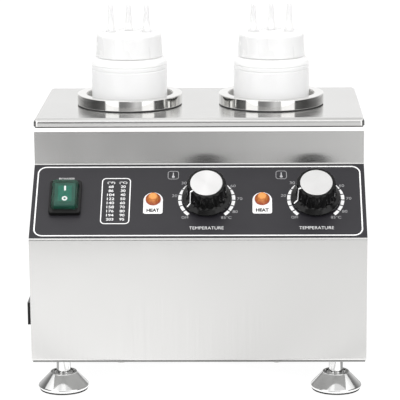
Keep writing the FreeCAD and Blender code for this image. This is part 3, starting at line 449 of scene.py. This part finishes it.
def make_floor():
    """A pale floor, lit a little from below like a product table."""
    tone = (FLOOR_TONE, FLOOR_TONE, FLOOR_TONE, 1)
    shader = Shader("table_white", Base_Color=tone, Roughness=0.8, Specular_IOR_Level=0.1)
    shader.main.inputs["Emission Color"].default_value = (1, 1, 1, 1)
    shader.main.inputs["Emission Strength"].default_value = FLOOR_GLOW
    corners = [(x, y, 0) for x, y in ((-1, -1), (1, -1), (1, 1), (-1, 1))]
    corners = [(FLOOR_HALF * x, FLOOR_HALF * y, z) for x, y, z in corners]
    stage_piece("floor", corners, [(0, 1, 2, 3)], shader.material)


def bearing_glow(name, levels):
    """A material that glows by its bearing from the machine's front, which is the middle of its ramp."""
    material = bpy.data.materials.new(name)
    material.use_nodes = True
    tree = material.node_tree
    tree.nodes.clear()

    def step(kind, operation=None, constant=None):
        made = tree.nodes.new(kind)
        if operation:
            made.operation = operation
        if constant is not None:
            made.inputs[1].default_value = constant
        return made

    parts = step("ShaderNodeSeparateXYZ")
    forward, bearing = step("ShaderNodeMath", "MULTIPLY", -1), step("ShaderNodeMath", "ARCTAN2")
    turns, share = step("ShaderNodeMath", "DIVIDE", 2 * math.pi), step("ShaderNodeMath", "ADD", 0.5)
    ramp, glow, out = step("ShaderNodeValToRGB"), step("ShaderNodeEmission"), step("ShaderNodeOutputMaterial")
    gain = 2.0
    glow.inputs["Strength"].default_value = gain
    for source, socket in (
        (step("ShaderNodeNewGeometry").outputs["Position"], parts.inputs[0]),
        (parts.outputs["X"], bearing.inputs[0]), (parts.outputs["Y"], forward.inputs[0]),
        (forward.outputs[0], bearing.inputs[1]),
        (bearing.outputs[0], turns.inputs[0]), (turns.outputs[0], share.inputs[0]),
        (share.outputs[0], ramp.inputs["Fac"]), (ramp.outputs["Color"], glow.inputs["Color"]),
        (glow.outputs[0], out.inputs["Surface"]),
    ):
        tree.links.new(source, socket)
    stops = ramp.color_ramp.elements
    while len(stops) < len(levels):
        stops.new(1.0)
    for stop, (degrees, level) in zip(stops, levels):
        stop.position = degrees / 360 + 0.5
        stop.color = (level / gain, level / gain, level / gain, 1)
    return material


def make_studio():
    """The room round the machine, which only reflections show: a table, a wall, screens and a ceiling."""
    for name, (low, high, levels) in STUDIO.items():
        corners = []
        for i in range(STUDIO_STEPS):
            bearing = 2 * math.pi * i / STUDIO_STEPS
            for radius, z in (low, high):
                corners.append((radius * math.sin(bearing), -radius * math.cos(bearing), z))
        faces = []
        for i in range(0, 2 * STUDIO_STEPS, 2):
            j = (i + 2) % (2 * STUDIO_STEPS)
            faces.append((i, j, j + 1, i + 1))
        stage_piece(name, corners, faces, bearing_glow(name, levels), seen=False)


def make_foot_shades():
    """The dark contact line under each foot, which only reflections show."""
    dark = (0.05, 0.05, 0.05, 1)
    shader = Shader("contact_shade", Base_Color=dark, Roughness=1.0, Specular_IOR_Level=0.0)
    for name in frame["nodes"]:
        if not name.startswith("foot_base"):
            continue
        low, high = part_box(name)
        middle, radius = (low + high) / 2, (high.x - low.x) / 2
        corners = []
        for k in range(SHADE_STEPS):
            t = 2 * math.pi * k / SHADE_STEPS
            corners.append((middle.x + radius * math.cos(t), middle.y + radius * math.sin(t), SHADE_LEVEL))
        stage_piece(f"shade_{name}", corners, [tuple(range(SHADE_STEPS))], shader.material, seen=False)


def area_light(name, place, size, power):
    """A soft light that faces the machine and does not show in reflections."""
    data = bpy.data.lights.new(name, "AREA")
    data.shape = "RECTANGLE"
    data.size, data.size_y = size
    data.energy = power
    light = bpy.data.objects.new(name, data)
    light.location = place
    light.rotation_euler = (LIGHT_AIM - Vector(place)).to_track_quat("-Z", "Y").to_euler()
    light.visible_camera = False
    light.visible_glossy = False
    bpy.context.scene.collection.objects.link(light)


def make_lights():
    """A white world and four soft lights: left, right, over the machine and in front of it."""
    world = bpy.data.worlds.new("studio_white")
    world.use_nodes = True
    background = world.node_tree.nodes["Background"]
    background.inputs["Color"].default_value = (1, 1, 1, 1)
    background.inputs["Strength"].default_value = 1.0
    bpy.context.scene.world = world
    bpy.context.scene.view_settings.view_transform = "Standard"
    area_light("light_left", (-1.5, -1.6, 1.7), (1.2, 1.2), 14)
    area_light("light_right", (1.5, -1.6, 1.5), (1.2, 1.2), 9)
    area_light("light_top", (-0.25, 0.1, 2.2), (1.2, 1.4), 7)
    area_light("light_front", (0.1, -2.3, 1.1), (1.4, 1.0), 17)


# ---------------------------------------------------------------- shape helpers

TURN_STEPS = 192
ARC_STEPS = 6
CREASE = math.radians(32)
ON_AXIS = 1e-6


def piece(bm, name, material, body, place):
    """Finishes a mesh as a piece that rides on a body. Its points are in millimetres about its own place."""
    bmesh.ops.recalc_face_normals(bm, faces=bm.faces)
    bmesh.ops.scale(bm, vec=(MM, MM, MM), verts=bm.verts)
    mesh = bpy.data.meshes.new(name)
    bm.to_mesh(mesh)
    bm.free()
    mesh.materials.append(MATERIALS[material])
    mesh.shade_smooth()
    mesh.set_sharp_from_angle(angle=CREASE)
    thing = bpy.data.objects.new(name, mesh)
    thing.matrix_world = place
    bpy.context.scene.collection.objects.link(thing)
    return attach(thing, body)


def softened(corners, closed=False):
    """Points of an outline of (x, y, rounding) corners, where each rounding is an arc of that radius."""
    points = []
    last = len(corners) - 1
    for i, corner in enumerate(corners):
        here, rounding = Vector(corner[:2]), corner[2] if len(corner) > 2 else 0
        if rounding == 0 or (not closed and i in (0, last)):
            points.append(here)
            continue
        back = (Vector(corners[i - 1][:2]) - here).normalized()
        on = (Vector(corners[(i + 1) % len(corners)][:2]) - here).normalized()
        half = back.angle(on) / 2
        centre = here + (back + on).normalized() * rounding / math.sin(half)
        start = here + back * rounding / math.tan(half) - centre
        end = here + on * rounding / math.tan(half) - centre
        for k in range(ARC_STEPS + 1):
            points.append(centre + start.lerp(end, k / ARC_STEPS).normalized() * rounding)
    return points


def turn(bm, outline, closed=False, steps=TURN_STEPS, reach=None, at=(0, 0, 0)):
    """Carries an outline of (radius, height) points round the Z axis.

    reach(angle, radius, height) gives the radius at each angle, where it isn't the same all round."""
    rings = []
    for radius, height in outline:
        if radius < ON_AXIS:
            rings.append([bm.verts.new((at[0], at[1], at[2] + height))])
            continue
        ring = []
        for i in range(steps):
            angle = 2 * math.pi * i / steps
            r = reach(angle, radius, height) if reach else radius
            x, y = r * math.cos(angle), r * math.sin(angle)
            ring.append(bm.verts.new((at[0] + x, at[1] + y, at[2] + height)))
        rings.append(ring)
    if closed:
        rings.append(rings[0])
    for low, high in zip(rings, rings[1:]):
        if len(low) == len(high) == 1:
            continue
        for i in range(steps):
            j = (i + 1) % steps
            face = [low[i % len(low)], low[j % len(low)], high[j % len(high)], high[i % len(high)]]
            bm.faces.new(list(dict.fromkeys(face)))


def join_rings(bm, low, high):
    for i in range(len(low)):
        j = (i + 1) % len(low)
        bm.faces.new((low[i], low[j], high[j], high[i]))


def loft(bm, loops):
    """Joins loops of as many points each into a skin, and closes both ends."""
    rings = [[bm.verts.new(point) for point in loop] for loop in loops]
    for low, high in zip(rings, rings[1:]):
        join_rings(bm, low, high)
    bm.faces.new(rings[0])
    bm.faces.new(rings[-1])


def ring_wall(bm, loops):
    """Joins loops of as many points each into a closed tube, the last one with the first."""
    rings = [[bm.verts.new(point) for point in loop] for loop in loops]
    for low, high in zip(rings, rings[1:] + rings[:1]):
        join_rings(bm, low, high)


def rounded_box_outline(width, height, radius):
    """A rectangle about the origin with arcs for corners."""
    x, y = width / 2, height / 2
    return softened([(x, -y, radius), (x, y, radius), (-x, y, radius), (-x, -y, radius)], closed=True)


def lifted(outline, height):
    """A flat outline at a height."""
    return [Vector((x, y, height)) for x, y in outline]


THREAD_STEPS, THREAD_PITCH, THREAD_TURNS = 96, 4.2, 1.9


def thread(bm, root, crest, start, width):
    """A screw thread: a ridge from root to crest radius that climbs by its pitch each turn.

    It rises from the wall at its start and sinks back at its end, and its foot is sunk in the wall."""
    steps = int(THREAD_STEPS * THREAD_TURNS)
    foot = root - 0.3 * (crest - root)
    half, narrow = width / 2, width / 5
    loops = []
    for k in range(steps + 1):
        angle = 2 * math.pi * THREAD_TURNS * k / steps
        height = start + THREAD_PITCH * THREAD_TURNS * k / steps
        fade = min(1, 6 * k / steps, 6 * (steps - k) / steps)
        top = root + (crest - root) * max(fade, 0.02)
        section = ((foot, -half), (top, -narrow), (top, narrow), (foot, half))
        x, y = math.cos(angle), math.sin(angle)
        loops.append([Vector((r * x, r * y, height + rise)) for r, rise in section])
    loft(bm, loops)


# ---------------------------------------------------------------- printing on the control film

INK_BASE, INK_TOP = 0.01, 0.05
LETTERS_ABOVE = 0.03


class Printing:
    """Flat printed shapes on the slope, in distances across and up it, gathered into one piece."""

    def __init__(self, raised=0.0):
        self.bm = bmesh.new()
        self.base, self.top = INK_BASE + raised, INK_TOP + raised

    def fill(self, outline):
        """A printed patch."""
        loft(self.bm, [lifted(outline, self.base), lifted(outline, self.top)])

    def line(self, outline, inner):
        """A closed printed line between two outlines of as many points each."""
        edges = ((outline, self.base), (outline, self.top), (inner, self.top), (inner, self.base))
        ring_wall(self.bm, [lifted(edge, height) for edge, height in edges])

    def frame(self, across, up, width, height, radius, weight):
        """The outline of a rounded rectangle, drawn inside its size."""
        outer = rounded_box_outline(width, height, radius)
        inner = rounded_box_outline(width - 2 * weight, height - 2 * weight, radius - weight)
        middle = Vector((across, up))
        self.line([p + middle for p in outer], [p + middle for p in inner])

    def words(self, text, across, up, width, height, weight=-0.008):
        """Lettering about its middle, stretched to a width and a height."""
        curve = bpy.data.curves.new("lettering", "FONT")
        curve.body = text
        curve.offset = weight
        holder = bpy.data.objects.new("lettering", curve)
        mesh = bpy.data.meshes.new_from_object(holder)
        xs = [v.co.x for v in mesh.vertices]
        ys = [v.co.y for v in mesh.vertices]
        low, high = Vector((min(xs), min(ys))), Vector((max(xs), max(ys)))
        wide, tall = width / (high.x - low.x), height / (high.y - low.y)
        letters = bmesh.new()
        letters.from_mesh(mesh)
        bmesh.ops.remove_doubles(letters, verts=letters.verts, dist=1e-5)
        flat = list(letters.faces)
        raised = bmesh.ops.extrude_face_region(letters, geom=flat, use_keep_orig=True)
        tops = {v for v in raised["geom"] if isinstance(v, bmesh.types.BMVert)}
        for vert in letters.verts:
            vert.co.x = across + (vert.co.x - (low.x + high.x) / 2) * wide
            vert.co.y = up + (vert.co.y - (low.y + high.y) / 2) * tall
            vert.co.z = self.top if vert in tops else self.base
        bmesh.ops.recalc_face_normals(letters, faces=letters.faces)
        lettered = bpy.data.meshes.new("lettered")
        letters.to_mesh(lettered)
        letters.free()
        self.bm.from_mesh(lettered)
        bpy.data.meshes.remove(lettered)
        bpy.data.meshes.remove(mesh)
        bpy.data.objects.remove(holder)
        bpy.data.curves.remove(curve)

    def done(self, name, material, body="housing", place=None):
        """Ends the printing as a piece, which lies on the slope unless it has another place."""
        return piece(self.bm, name, material, body, place or on_slope(0, 0))


# Places are across and up the slope, and sizes are width and height.
LETTER = 2.9
DIGIT_WEIGHT = 0.012
DIGIT_PITCH = 2.2
BORDER = {"across": 0, "up": 43.55, "width": 293.0, "height": 80.5, "radius": 8, "weight": 1.2}
POWER_PLACE, POWER_WIDTH = (-119.5, 69.2), 14.4
# The table of the same temperatures in Fahrenheit and Celsius.
TABLE_FRAME = {"across": -74.4, "up": 43.6, "width": 26.2, "height": 53.2, "radius": 4, "weight": 0.9}
TABLE_COLUMNS = (("(°F)", -79.0), ("(°C)", -68.1))
HEADING_UP, HEADING_SIZE = 64.6, (6.9, 3.0)
CELSIUS = (20, 30, 40, 50, 60, 70, 80, 90, 95)
TABLE_ROWS = [(round(1.8 * degrees + 32), degrees) for degrees in CELSIUS]
TABLE_TOP_ROW, TABLE_PITCH = 60.1, 4.71
LAMPS = {"left": -40.6, "right": 57.3}
LAMP_UP = 45.0
# The white label round a lamp, and the word under it.
LABEL_HALF, LABEL_LOW, LABEL_HIGH = 8.7, -16.3, 8.1
HEAT_DROP, HEAT_SIZE, HEAT_WEIGHT = 12.3, (11.6, 3.9), 0.055
DIAL_ACROSS = {side: DIALS[side].x / MM for side in SIDES}
# A dial's scale: its middle radius, where it starts from straight down, and its blocks.
SCALE_MIDDLE, SCALE_HALF, SCALE_START = 24.2, 1.5, 42
BLOCKS, BLOCK_STEP, BLOCK_GAP = 6, 15.3, 2.8
DIAL_NAME_UP, DIAL_NAME_SIZE = 12.3, (30.7, 3.3)
SIGN_ACROSS, SIGN_UP, SIGN_SIZE = -30.6, 73.5, (9.9, 9.6)
# Dial lettering about the dial's centre: words, across, up, width.
DIAL_WORDS = (
    ("OFF", -19.1, -21.2, 6.3), ("20", -28.9, 3.9, 4.6), ("30", -20.7, 18.7, 4.6), ("60", 23.6, 15.2, 4.6),
    ("70", 29.6, 0.3, 4.6), ("80", 25.5, -14.6, 4.6), ("85°C", 17.6, -21.3, 9.2),
)


def round_at(bearing, radius):
    """A point at a bearing in degrees, counted as in geometry, and a radius."""
    return Vector((radius * math.cos(math.radians(bearing)), radius * math.sin(math.radians(bearing))))


def print_scale(ink, centre, sign):
    """One side of a dial's scale: thick blocks at the bottom that thin out to a point at the top."""
    for k in range(BLOCKS):
        near = k * BLOCK_STEP
        far = near + BLOCK_STEP - BLOCK_GAP
        edges = []
        for bearing in (near, (near + far) / 2, far):
            half = SCALE_HALF * min(1, 0.1 + (BLOCKS * BLOCK_STEP - bearing) / (2.4 * BLOCK_STEP))
            angle = -90 + sign * (SCALE_START + bearing)
            edges.append([round_at(angle, SCALE_MIDDLE + edge) + centre for edge in (half, -half)])
        ink.fill([outer for outer, inner in edges] + [inner for outer, inner in reversed(edges)])


def print_thermometer(ink, across, up):
    """The temperature sign: a thermometer in a rounded square."""
    ink.frame(across, up, *SIGN_SIZE, radius=2.4, weight=0.42)
    centre = Vector((across, up))
    bulb = [round_at(115 + 310 * k / 16, 1.35) + Vector((0, -1.9)) for k in range(17)]
    tube = [round_at(180 * k / 8, 0.5) + Vector((0, 2.5)) for k in range(9)]
    ink.fill([p + centre for p in bulb + tube])


def print_table(ink):
    """The framed table of temperatures."""
    ink.frame(**TABLE_FRAME)
    for heading, across in TABLE_COLUMNS:
        ink.words(heading, across, HEADING_UP, *HEADING_SIZE, DIGIT_WEIGHT)
    for row, pair in enumerate(TABLE_ROWS):
        up = TABLE_TOP_ROW - TABLE_PITCH * row
        for number, (_, across) in zip(pair, TABLE_COLUMNS):
            ink.words(str(number), across, up, DIGIT_PITCH * len(str(number)), LETTER, DIGIT_WEIGHT)


def make_printing():
    """The white printing, the grey printing of the dials, and the black words on the lamps' labels."""
    ink = Printing()
    ink.frame(**BORDER)
    ink.words("POWER", *POWER_PLACE, POWER_WIDTH, LETTER)
    print_table(ink)
    label = softened(
        [(LABEL_HALF, LABEL_LOW, 1.8), (LABEL_HALF, LABEL_HIGH, 8.6), (-LABEL_HALF, LABEL_HIGH, 8.6),
         (-LABEL_HALF, LABEL_LOW, 1.8)],
        closed=True,
    )
    faint = Printing()
    for side in SIDES:
        centre = Vector((DIAL_ACROSS[side], DIAL_UP))
        for sign in (-1, 1):
            print_scale(ink, centre, sign)
        for words, across, up, width in DIAL_WORDS:
            faint.words(words, centre.x + across, centre.y + up, width, LETTER)
        ink.words("TEMPERATURE", centre.x, DIAL_NAME_UP, *DIAL_NAME_SIZE)
        print_thermometer(faint, centre.x + SIGN_ACROSS, SIGN_UP)
        middle = Vector((LAMPS[side], LAMP_UP))
        ink.fill([p + middle for p in label])
    ink.done("panel_printing", "white_ink")
    faint.done("dial_printing", "grey_ink")
    dark = Printing(raised=LETTERS_ABOVE)
    for across in LAMPS.values():
        dark.words("HEAT", across, LAMP_UP - HEAT_DROP, *HEAT_SIZE, HEAT_WEIGHT)
    dark.done("heat_lettering", "black_ink")


# ---------------------------------------------------------------- knobs

# Radii of the skirt, of the grip's foot and top and of the insert; the knob's top and the gap under it.
SKIRT, GRIP, CROWN, INSERT = 21.8, 18.0, 17.3, 14.4
KNOB_TALL, KNOB_GAP = 22.6, 2.6
FLUTES_FROM = KNOB_GAP + 4.4
INSERT_SEAT, INSERT_PROUD = KNOB_TALL - 1.5, 0.5
FLUTES, FLUTE_RADIUS, FLUTE_OUT = 16, 2.4, 1.3
POINTER_AT = {"left": 216.0, "right": 204.0}


def fluted(angle, radius, height):
    """The grip's radius with round flutes cut in it; the first rib is at angle 0."""
    if height < FLUTES_FROM or radius < INSERT + 0.3:
        return radius
    spacing = 2 * math.pi / FLUTES
    off = angle % spacing - spacing / 2
    out = GRIP + FLUTE_OUT - (GRIP - CROWN) * (height - FLUTES_FROM) / (KNOB_TALL - FLUTES_FROM)
    across = out * math.sin(off)
    if abs(across) >= FLUTE_RADIUS:
        return radius
    return min(radius, out * math.cos(off) - math.sqrt(FLUTE_RADIUS**2 - across**2))


def pointer_line(bm):
    """A raised white line from the insert, down a rib and out to the skirt's edge, at angle 0."""
    path = [(INSERT + 0.4, KNOB_TALL), (CROWN, KNOB_TALL), (GRIP + 0.05, FLUTES_FROM)]
    path.append((SKIRT - 0.4, KNOB_GAP + 1.7))
    normals = [(0, 1), (0.9, 0.9), (1.0, 0.5), (0.5, 0.87)]
    loops = []
    for (radius, height), (out, up) in zip(path, normals):
        corners = ((-0.3, -0.7), (-0.3, 0.7), (0.14, 0.62), (0.14, -0.62))
        loops.append([(radius + lift * out, side, height + lift * up) for lift, side in corners])
    loft(bm, loops)


def make_knob(side):
    """A fluted knob with its skirt, its pointer and its metal insert."""
    place = on_slope(DIAL_ACROSS[side], DIAL_UP, POINTER_AT[side])
    body = bmesh.new()
    low = KNOB_GAP
    lower = [(0, low), (SKIRT, low, 0.3), (SKIRT, low + 1.4, 0.7), (GRIP + 0.9, low + 3.5, 0.9)]
    lower += [(GRIP + 0.02, low + 4.6), (GRIP - 0.06, low + 5.4)]
    upper = [(CROWN + 0.05, KNOB_TALL - 0.9), (CROWN, KNOB_TALL, 0.6), (INSERT + 0.1, KNOB_TALL, 0.2)]
    upper += [(INSERT + 0.1, INSERT_SEAT - 0.1), (0, INSERT_SEAT - 0.1)]
    turn(body, softened(lower + upper), steps=16 * FLUTES, reach=fluted)
    knob = piece(body, f"fluted_knob_{side}", "black", f"knob_{side}", place)
    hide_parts(f"knob_{side}")

    line = bmesh.new()
    pointer_line(line)
    pointer = piece(line, f"knob_pointer_{side}", "white_ink", f"knob_{side}", place)

    disc = bmesh.new()
    top = KNOB_TALL + INSERT_PROUD
    face = [(INSERT, top, 0.35), (INSERT - 1.2, top), (0, top)]
    turn(disc, softened([(0, INSERT_SEAT), (INSERT, INSERT_SEAT)] + face))
    insert = piece(disc, f"spun_insert_{side}", "insert", f"knob_{side}", place)
    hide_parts(f"knob_cap_{side}")


# ---------------------------------------------------------------- lamps and switch

LENS, LENS_TALL, FACETS = 6.8, 5.6, 12


def faceted(angle, radius, height):
    """Flat facets round the lens above its rim."""
    if height < 1.9 or radius < 0.5:
        return radius
    half = math.pi / FACETS
    return radius * math.cos(half) / math.cos(angle % (2 * half) - half)


def make_lamp(side):
    """A pilot lamp's lens: a plain rim with a faceted cone on it."""
    lens = bmesh.new()
    rim = [(0, 0.02), (LENS, 0.02), (LENS, 1.5, 0.5), (LENS - 0.8, 1.7)]
    cone = [(LENS - 0.9, 2.0), (LENS - 2.9, LENS_TALL - 0.3), (0, LENS_TALL)]
    turn(lens, softened(rim + cone), steps=8 * FACETS, reach=faceted)
    made = piece(lens, f"faceted_lens_{side}", "amber", "housing", on_slope(LAMPS[side], LAMP_UP))
    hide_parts(f"lamp_lens_{side}")


SWITCH_ACROSS, SWITCH_UP = JOINTS["rocker_press"]["pos_m"][0] / MM, 45.8
# The boot's foot and height, and how far its shoulder runs in and down.
BOOT_SIZE = (24.6, 30.4)
BOOT_TALL = 12.2
SHOULDER_IN, SHOULDER_DOWN = 2.28, 3.2


def make_boot():
    """The splash boot: a soft dome with round shoulders and a shallow dish over the key."""
    bm = bmesh.new()
    wide, long = BOOT_SIZE
    levels = [(0, 0.2), (0.1, 4.6), (0.5, 6.5)]
    for t in (0, 0.3, 0.6, 0.9, 1.2, math.pi / 2):
        inset = SHOULDER_IN * (1 - math.cos(t))
        levels.append((0.6 + inset, BOOT_TALL - SHOULDER_DOWN * (1 - math.sin(t))))
    levels += [(4.4, BOOT_TALL - 0.1), (5.6, BOOT_TALL - 0.8), (7.0, BOOT_TALL - 1.1)]
    loops = []
    for inset, rise in levels:
        corner = max(3.4 - 0.25 * inset, 1.2)
        loops.append(lifted(rounded_box_outline(wide - 2 * inset, long - 2 * inset, corner), rise))
    loft(bm, loops)
    boot = piece(bm, "boot_dome", "boot", "housing", on_slope(SWITCH_ACROSS, SWITCH_UP))
    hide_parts("switch_boot")


# The key: half its length, its width, its tilt in degrees and its axis; then levels over the slope.
KEY_HALF, KEY_WIDE, KEY_TILT, KEY_PIVOT = 12.2, 18.4, 7.0, -2.2
KEY_MIDDLE, KEY_END = 7.4, 8.4
KEY_SHOULDER, KEY_KEEL = 3.6, -3.0
WINDOW_LOW, WINDOW_HIGH, WINDOW_WIDE = -6.6, 9.4, 12.4
WINDOW_PROUD = 0.12
RING_ALONG, RING_OUTER, RING_INNER = -3.8, 2.5, 1.1
BAR_ALONG, BAR_SIZE = 6.9, (1.7, 4.7)


def key_level(along):
    """The height of the key's shallow V top at a distance along it."""
    return KEY_MIDDLE + (KEY_END - KEY_MIDDLE) * abs(along) / KEY_HALF


def make_mark(marks, name, along, place):
    """Ends a mark of the key, which lies on the slant of its window at a distance along it."""
    rise = math.atan((KEY_END - KEY_MIDDLE) / KEY_HALF)
    spot = Matrix.Translation(MM * Vector((0, along, key_level(along) + WINDOW_PROUD)))
    lean = Matrix.Rotation(math.copysign(rise, along), 4, "X")
    # The mark's ink has a painted glow.
    marks.done(name, "painted_glow_ink", "rocker", place @ spot @ lean)


def make_rocker():
    """The rocker key, its lower end pressed in: a dark border, a bright window and the two marks, whose ink
    has a painted glow.
    """
    tilt = Matrix.Translation((0, 0, KEY_PIVOT * MM)) @ Matrix.Rotation(math.radians(KEY_TILT), 4, "X")
    place = on_slope(SWITCH_ACROSS, SWITCH_UP) @ tilt @ Matrix.Translation((0, 0, -KEY_PIVOT * MM))
    half = KEY_WIDE / 2
    bm = bmesh.new()
    outline = softened(
        [(-KEY_HALF, KEY_SHOULDER, 0.3), (-KEY_HALF, KEY_END, 0.5), (0, KEY_MIDDLE), (KEY_HALF, KEY_END, 0.5),
         (KEY_HALF, KEY_SHOULDER, 0.3), (4, KEY_KEEL, 1), (-4, KEY_KEEL, 1)],
        closed=True,
    )
    inner = [(0.985 * y, 0.985 * (z - 1) + 1) for y, z in outline]
    sections = ((-half, inner), (0.4 - half, outline), (half - 0.4, outline), (half, inner))
    loft(bm, [[(x, y, z) for y, z in shape] for x, shape in sections])
    key = piece(bm, "rocker_key", "key", "rocker", place)
    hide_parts("rocker")

    glass = bmesh.new()
    low, high = [], []
    for along in (WINDOW_LOW, 0, WINDOW_HIGH):
        low.append((along, key_level(along) - 0.4))
        high.append((along, key_level(along) + WINDOW_PROUD))
    section = low + high[::-1]
    loft(glass, [[(x, y, z) for y, z in section] for x in (-WINDOW_WIDE / 2, WINDOW_WIDE / 2)])
    piece(glass, "rocker_window", "key_window", "rocker", place)

    ring = Printing()
    ring.line(*[[round_at(360 * k / 32, radius) for k in range(32)] for radius in (RING_OUTER, RING_INNER)])
    make_mark(ring, "rocker_mark_off", RING_ALONG, place)
    bar = Printing()
    bar.fill(rounded_box_outline(*BAR_SIZE, 0.3))
    make_mark(bar, "rocker_mark_on", BAR_ALONG, place)


# ---------------------------------------------------------------- lid, wells, bottles and caps

# The bottle's neck and the ledge round it as radii, its walls, and how far its collar lies under the rim and
# its shoulder under that.
NECK, LEDGE = 26.8, 32.2
NECK_WALL, BOTTLE_WALL = 1.8, 1.6
NECK_RISE, SHOULDER_RISE = 16.1, 6.3
# The cap's bore, height and inner ceiling, the disc on it, and its spouts with their foot and blind hole.
CAP_BORE, CAP_TALL, CAP_CEILING = 28.3, 22.4, 18.4
DISC, DISC_TOP = 12.6, CAP_TALL + 1.2
SPOUT_PITCH, SPOUT_BASE, SPOUT_TIP, SPOUT_TALL = 16.7, 3.7, 2.1, 26.0
SPOUT_FOOT, SPOUT_HOLE = -2, SPOUT_TALL - 18
# The lid and the wells: the CAD trim frame's height, and the dark strip in the gap over it, which is painted
# shade.
FRAME_TALL, SHADE_STRIP_INSET, SHADE_STRIP_WIDE = 3.5, 1.5, 1.5
# The cup's bore and its liner, and the step in the ring's foot with the dark ring in it.
BORE, LINER_DEEP, LINER_WALL = 40.65, 24, 0.45
RING_STEP, DARK_LINE_WIDE, DARK_LINE_TALL = 0.8, 0.35, 1.05


def make_lid_strip():
    """A dark strip in the narrow gap between the trim frame and the lid: painted shade for the gap's shadow.
    """
    low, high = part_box("deck_frame")
    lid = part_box("deck_plate")[0].z
    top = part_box("side_panel_left")[1].z + FRAME_TALL * MM
    wide, deep = (high.x - low.x) / MM - 2 * SHADE_STRIP_INSET, (high.y - low.y) / MM - 2 * SHADE_STRIP_INSET
    outer = rounded_box_outline(wide, deep, 2.5)
    inner = rounded_box_outline(wide - 2 * SHADE_STRIP_WIDE, deep - 2 * SHADE_STRIP_WIDE, 1.5)
    base, rise = 0.04, (lid - top) / MM - 0.04
    bm = bmesh.new()
    ring_wall(bm, [lifted(outer, base), lifted(outer, rise), lifted(inner, rise), lifted(inner, base)])
    place = Matrix.Translation(((low.x + high.x) / 2, (low.y + high.y) / 2, top))
    # Painted shade: the strip takes the dark rubber material to stand for the gap's shadow.
    piece(bm, "lid_gap_shade", "rubber", "housing", place)


def make_well_trim(side):
    """A dark ring in the step at the ring's foot, which makes a dark line there, and the satin liner that
    shows inside it.
    """
    node = f"well_ring_{side}"
    low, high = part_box(node)
    place = over(node)
    inner, tall = (high.x - low.x) / 2 / MM - RING_STEP + 0.03, (high.z - low.z) / MM
    outer = inner + DARK_LINE_WIDE
    section = [(inner, 0.02), (outer, 0.02, 0.1), (outer, DARK_LINE_TALL, 0.1), (inner, DARK_LINE_TALL)]
    # A dark ring in the step, which darkens the line under the ring.
    seal = bmesh.new()
    turn(seal, softened(section, closed=True), closed=True)
    piece(seal, f"ring_dark_line_{side}", "rubber", "housing", place)
    outer, low_end, high_end = BORE - 0.05, -LINER_DEEP, tall - 1.1
    inner = outer - LINER_WALL
    section = [(inner, low_end), (outer, low_end), (outer, high_end), (inner, high_end, 0.2)]
    liner = bmesh.new()
    turn(liner, softened(section, closed=True), closed=True)
    piece(liner, f"bore_liner_{side}", "cup", "housing", place)


def make_bottle(side):
    """A squeeze bottle: a round base, two faint grooves under the shoulder, and a threaded neck."""
    node = f"bottle_{side}"
    low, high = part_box(node)
    radius, rim = (high.x - low.x) / 2 / MM, (high.z - low.z) / MM
    collar = rim - NECK_RISE
    shoulder = collar - SHOULDER_RISE
    outer = [(0, 1.2), (radius - 9, 1.2, 2), (radius - 6, 0, 1), (radius, 0, 4)]
    for groove in (shoulder - 5.5, shoulder - 1.6):
        outer += [(radius, groove - 0.9, 0.4), (radius - 0.45, groove, 0.5), (radius, groove + 0.9, 0.4)]
    outer += [(radius, shoulder, 0.5), (radius - 0.5, shoulder + 2.4, 1.6), (LEDGE, collar - 0.8, 1.2)]
    outer += [(NECK, collar, 0.8), (NECK, rim, 0.5), (NECK - NECK_WALL, rim, 0.5)]
    inner = [(NECK - NECK_WALL, collar - BOTTLE_WALL, 1), (radius - BOTTLE_WALL, shoulder - 1, 2)]
    inner += [(radius - BOTTLE_WALL, BOTTLE_WALL + 1.2, 3), (0, BOTTLE_WALL + 1.2)]
    bm = bmesh.new()
    turn(bm, softened(outer + inner))
    thread(bm, NECK, NECK + 1.1, collar + 4.5, 2.2)
    bottle = piece(bm, f"squeeze_bottle_{side}", "bottle", node, over(node))
    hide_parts(node)


def make_cap(side):
    """A screw cap: a tapered shell with a raised disc, thread inside, and three hollow spouts."""
    node = f"cap_{side}"
    low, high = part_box(node)
    skirt = (high.y - low.y) / 2 / MM
    crown = skirt - 1.4
    shell = [(CAP_BORE, 0), (skirt - 0.3, 0, 0.2), (skirt, 0.6, 0.4), (skirt - 0.15, 2.6, 0.2)]
    shell += [(skirt - 0.3, 3.0, 0.2), (crown, CAP_TALL, 3.2)]
    shell += [(DISC, CAP_TALL, 0.6), (DISC - 1.1, DISC_TOP, 0.5), (0, DISC_TOP)]
    lid = [(0, CAP_CEILING), (CAP_BORE, CAP_CEILING, 0.8)]
    bm = bmesh.new()
    turn(bm, softened(shell) + softened(lid), closed=True)
    thread(bm, CAP_BORE + 0.1, CAP_BORE - 0.5, 3.0, 1.8)
    spout = [(0, SPOUT_FOOT), (SPOUT_BASE + 0.6, SPOUT_FOOT), (SPOUT_BASE + 0.9, 0.2, 0.3)]
    spout += [(SPOUT_BASE - 0.1, 1.6, 1.2), (SPOUT_TIP, SPOUT_TALL, 0.5), (SPOUT_TIP - 0.8, SPOUT_TALL, 0.25)]
    spout += [(SPOUT_TIP - 0.5, SPOUT_HOLE), (0, SPOUT_HOLE)]
    for place in (-1, 0, 1):
        turn(bm, softened(spout), steps=48, at=(place * SPOUT_PITCH, 0, CAP_TALL))
    cap = piece(bm, f"spout_cap_{side}", "cap", node, over(node))
    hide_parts(node)


# ---------------------------------------------------------------- the scene

make_camera()
make_floor()
make_studio()
make_foot_shades()
make_lights()
dress_nodes()
make_printing()
make_boot()
make_rocker()
make_lid_strip()
for word in SIDES:
    make_knob(word)
    make_lamp(word)
    make_well_trim(word)
    make_bottle(word)
    make_cap(word)
